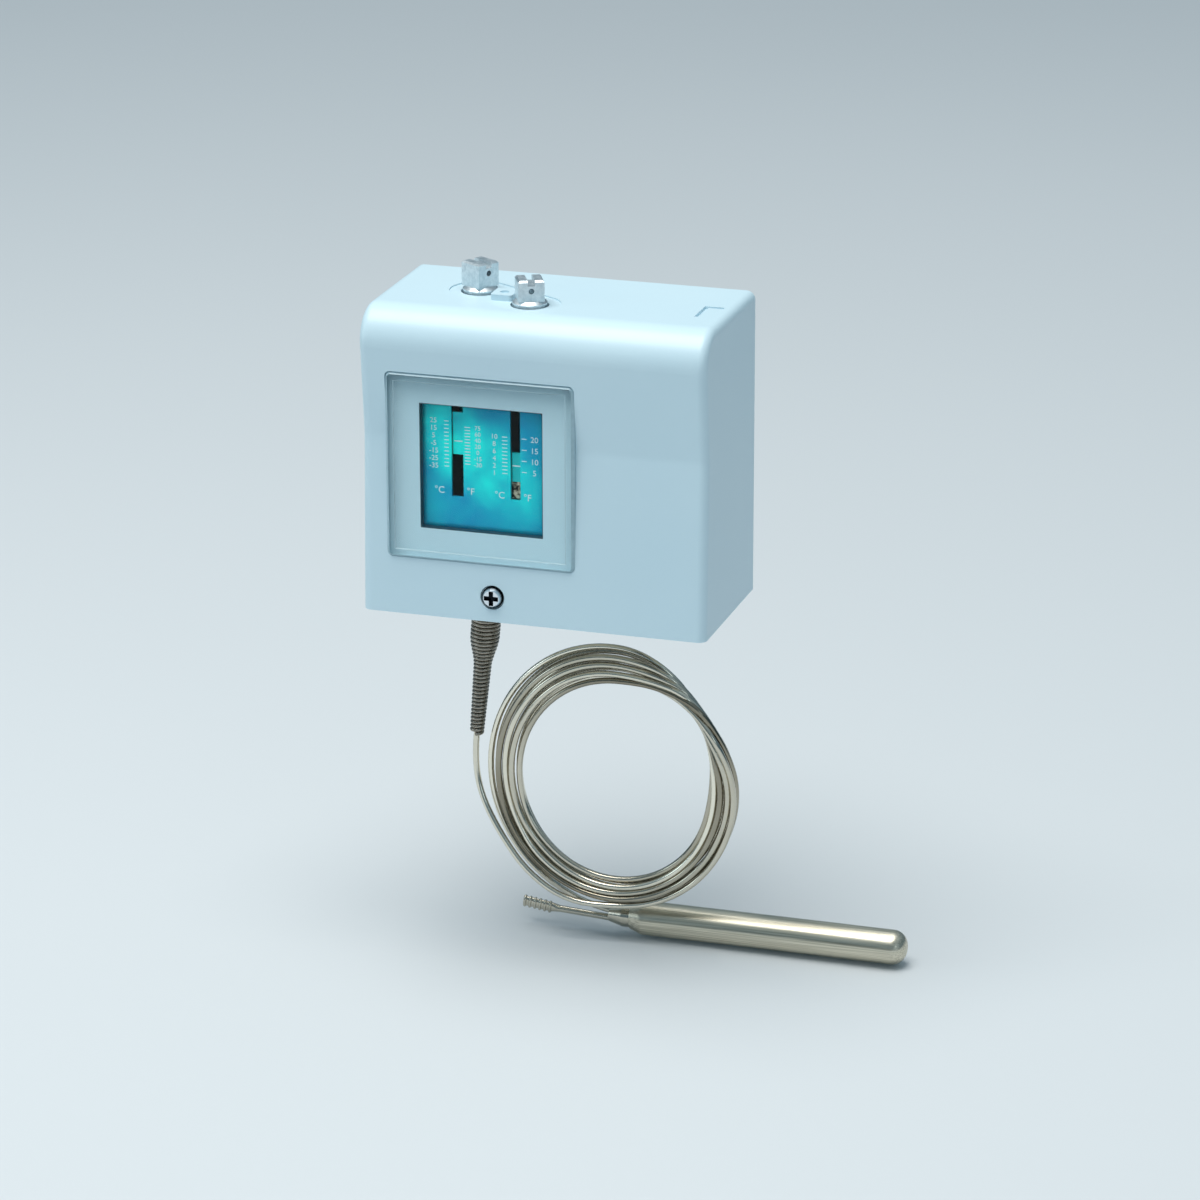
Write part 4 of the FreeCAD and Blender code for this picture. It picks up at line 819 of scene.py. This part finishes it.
# %% Recipe of a row of strokes
INK_THICKNESS = 0.04 * mm
stroke_row, given, stroke_inputs = new_recipe("stroke_row", {
    "Count": "Int", "Pitch": "Float", "Length": "Float", "Thickness": "Float", "Material": "Material"})
step = add_node(stroke_row, "ShaderNodeCombineXYZ", {"Z": given["Pitch"]})
row = add_node(stroke_row, "GeometryNodeMeshLine", {"Count": given["Count"], "Offset": step.outputs[0]})
size = add_node(stroke_row, "ShaderNodeCombineXYZ", {
    "X": given["Length"], "Y": INK_THICKNESS, "Z": given["Thickness"]})
stroke = add_node(stroke_row, "GeometryNodeMeshCube", {"Size": size.outputs[0]})
strokes = add_node(stroke_row, "GeometryNodeInstanceOnPoints", {
    "Points": row.outputs[0], "Instance": stroke.outputs[0]})
end_recipe(stroke_row, strokes.outputs[0], given["Material"])

# %% Strokes beside the slots
# Each row: name, x of its middle, height of its lowest stroke, number of strokes, pitch and length in mm.
INK_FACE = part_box("scale_plate")[0].y - INK_THICKNESS / 2
STROKE_THICKNESS = 0.24 * mm
stroke_rows = (
    ("range_celsius", -25.9, 43.0, 13, 1.09, 1.3), ("range_fahrenheit", -19.8, 44.1, 13, 0.885, 1.6),
    ("differential_celsius", -8.95, 42.4, 11, 1.05, 1.5),
    ("differential_fahrenheit", -3.3, 43.2, 4, 3.2, 1.4))
for name, x, foot, count, pitch, length in stroke_rows:
    origin = place(x, 0, foot)
    origin.y = INK_FACE
    strokes = grow(name + "_strokes", stroke_row, stroke_inputs, {
        "Count": count, "Pitch": pitch * mm, "Length": length * mm, "Thickness": STROKE_THICKNESS,
        "Material": white_ink}, Matrix.Translation(origin))
    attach(strokes, "housing")

# %% Figures and signs
# Each column: x of its middle, height of its lowest figure, pitch and figure height in mm, and its figures.
number_columns = (
    (-29.7, 43.0, 2.18, 1.45, (-35, -25, -15, -5, 5, 15, 25)),
    (-16.8, 44.1, 1.77, 1.25, (-30, -15, 0, 20, 40, 60, 75)),
    (-12.0, 42.4, 2.1, 1.4, (1, 2, 4, 6, 8, 10)),
    (-0.3, 43.2, 3.2, 1.6, (5, 10, 15, 20)))
signs = (("°C", -28.1, 35.1), ("°F", -19.0, 35.3), ("°C", -10.5, 35.1), ("°F", -2.4, 35.0))
SIGN_HEIGHT = 1.9
CAPITAL_SHARE = 0.7


def flat_word(text, x, rise, tall):
    """Text as a thin mesh on the plate, centred on x, with its foot at the rise and its figures this tall."""
    letters = bpy.data.curves.new("figure", "FONT")
    letters.body = text
    letters.size = tall / CAPITAL_SHARE * mm
    letters.extrude = INK_THICKNESS / 2
    letters.resolution_u = 4
    letters.align_x = "CENTER"
    mesh = as_mesh(add_piece("figure", letters))
    origin = place(x, 0, rise)
    origin.y = INK_FACE
    mesh.transform(Matrix.Translation(origin) @ Matrix.Rotation(math.pi / 2, 4, "X"))
    return mesh


printed = bmesh.new()
for x, foot, pitch, tall, values in number_columns:
    for row, value in enumerate(values):
        printed.from_mesh(flat_word(str(value), x, foot + pitch * row - tall / 2, tall))
for sign, x, foot in signs:
    printed.from_mesh(flat_word(sign, x, foot, SIGN_HEIGHT))
figure_mesh = bpy.data.meshes.new("scale_figures")
printed.to_mesh(figure_mesh)
printed.free()
figure_mesh.materials.clear()
figure_mesh.materials.append(white_ink)
scale_figures = add_piece("scale_figures", figure_mesh)
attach(scale_figures, "housing")
print("figures:", len(figure_mesh.polygons), "faces")

# %% Index lines on the pointers
INDEX_LENGTH = 2.4 * mm
INDEX_THICKNESS = 0.35 * mm
for node, body, flag_x, rise in (("range_pointer", "range_pointer_body", -22.8, 50.2),
                                 ("differential_pointer", "differential_pointer_body", -5.9, 44.5)):
    origin = place(flag_x, 0, rise)
    origin.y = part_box(node)[0].y - INK_THICKNESS / 2
    index = grow(node + "_index", stroke_row, stroke_inputs, {
        "Count": 1, "Pitch": 1 * mm, "Length": INDEX_LENGTH, "Thickness": INDEX_THICKNESS,
        "Material": white_ink}, Matrix.Translation(origin))
    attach(index, body)

# %% [markdown]
# ## The crimped filling tube
# The bulb is filled through a short tube, which is then pinched shut with a toothed tool. The teeth leave a
# row of ridges. One ring is drawn as a squashed circle with a round section, and a row of them follows the
# pinched stretch.

# %% Recipe of the crimp's ridges
crimp_ridges, given, crimp_inputs = new_recipe("crimp_ridges", {
    "Count": "Int", "Length": "Float", "Half Width": "Float", "Half Thickness": "Float", "Ridge": "Float",
    "Material": "Material"})
reach = add_node(crimp_ridges, "ShaderNodeCombineXYZ", {"Z": given["Length"]})
spots = add_node(crimp_ridges, "GeometryNodeMeshLine", {"Count": given["Count"], "Offset": reach.outputs[0]},
                 mode="END_POINTS")
ring = add_node(crimp_ridges, "GeometryNodeCurvePrimitiveCircle", {"Resolution": 24, "Radius": 1.0})
squash = add_node(crimp_ridges, "ShaderNodeCombineXYZ", {
    "X": given["Half Width"], "Y": given["Half Thickness"], "Z": 1.0})
oval = add_node(crimp_ridges, "GeometryNodeTransform", {
    "Geometry": ring.outputs[0], "Scale": squash.outputs[0]})
section = add_node(crimp_ridges, "GeometryNodeCurvePrimitiveCircle", {
    "Resolution": 10, "Radius": given["Ridge"]})
ridge = add_node(crimp_ridges, "GeometryNodeCurveToMesh", {
    "Curve": oval.outputs[0], "Profile Curve": section.outputs[0]})
rounded = add_node(crimp_ridges, "GeometryNodeSetShadeSmooth", {"Geometry": ridge.outputs[0]})
ridges = add_node(crimp_ridges, "GeometryNodeInstanceOnPoints", {
    "Points": spots.outputs[0], "Instance": rounded.outputs[0]})
end_recipe(crimp_ridges, ridges.outputs[0], given["Material"])

# %% The crimp in place
CRIMP_HALF_WIDTH = 1.4 * mm
CRIMP_HALF_THICKNESS = 0.6 * mm
RIDGE_RADIUS = 0.5 * mm
crimp_start = place(-6.9, 0, -99.27)
crimp_end = place(-14.5, 0, -98.25)
tube_low, tube_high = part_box("filling_tube")
crimp_start.y = crimp_end.y = (tube_low.y + tube_high.y) / 2
crimp_line = crimp_end - crimp_start
flatwise = Vector((0, 1, 0))
crosswise = crimp_line.normalized().cross(flatwise)
axes = Matrix((crosswise, flatwise, crimp_line.normalized())).transposed().to_4x4()
turn = Matrix.Translation(crimp_start) @ axes
crimp = grow("crimp", crimp_ridges, crimp_inputs, {
    "Count": 6, "Length": crimp_line.length, "Half Width": CRIMP_HALF_WIDTH,
    "Half Thickness": CRIMP_HALF_THICKNESS, "Ridge": RIDGE_RADIUS, "Material": drawn_stainless}, turn)
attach(crimp, "housing")

# %% [markdown]
# ## The capillary's length

print("capillary length:", round(tube_length, 3), "m")

# %% [markdown]
# ## Floor, light and world
# A plain pale floor just under the bulb catches a soft shadow. One large soft lamp hangs above and a little
# in front, so the top of the hood is brightest and its right side darkest, as in a product photograph. Two
# weak strips at the sides draw lines on the metal. The world is brighter overhead than at the horizon, which
# gives the metal tubes both bright and dark lines to show.

# %% Floor
FLOOR_HEIGHT = cad_box[0].z - 0.8 * mm
FLOOR_HALF = 6
floor_mesh = bpy.data.meshes.new("floor")
floor_corners = [(x * FLOOR_HALF, y * FLOOR_HALF, FLOOR_HEIGHT)
                 for x, y in ((-1, -1), (1, -1), (1, 1), (-1, 1))]
floor_mesh.from_pydata(floor_corners, [], [(0, 1, 2, 3)])
floor = add_piece("floor", floor_mesh)
floor_mesh.materials.append(mottled_finish("pale_floor", 500 * mm, 1, ("#CDD3D6", "#D2D7DA"), Roughness=0.8))

# %% Lamps and world
WARM = (1, 0.97, 0.93)
COOL = (0.8, 0.93, 1)
WORLD_STRENGTH = 0.58


def soft_lamp(name, position, target, size, power, colour):
    """A square area lamp that points at a target."""
    lamp = bpy.data.lights.new(name, "AREA")
    lamp.size = size
    lamp.energy = power
    lamp.color = colour
    holder = bpy.data.objects.new(name, lamp)
    scene.collection.objects.link(holder)
    holder.location = position
    holder.rotation_euler = (Vector(target) - Vector(position)).to_track_quat("-Z", "Y").to_euler()


soft_lamp("key", position=(-0.2, -0.35, 1.6), target=(0, 0, 0), size=1.3, power=32, colour=WARM)
soft_lamp("left strip", position=(-1.2, -0.75, 0.3), target=(0, 0, -0.05), size=0.45, power=1.6, colour=COOL)
soft_lamp("right strip", position=(1.15, -1.1, 0.35), target=(0, 0, -0.05), size=0.4, power=0.9, colour=COOL)
world = bpy.data.worlds.new("studio")
world.use_nodes = True
scene.world = world
sky = add_node(world.node_tree, "ShaderNodeTexCoord").outputs["Generated"]
rise = add_node(world.node_tree, "ShaderNodeSeparateXYZ", {"Vector": sky}).outputs["Z"]
glow = add_node(world.node_tree, "ShaderNodeValToRGB", {"Fac": rise})
glow.color_ramp.elements[0].color = linear("#3F6C84")
glow.color_ramp.elements[1].position = 0.8
glow.color_ramp.elements[1].color = linear("#CBE1ED")
world.node_tree.links.new(glow.outputs["Color"], world.node_tree.nodes["Background"].inputs["Color"])
world.node_tree.nodes["Background"].inputs["Strength"].default_value = WORLD_STRENGTH
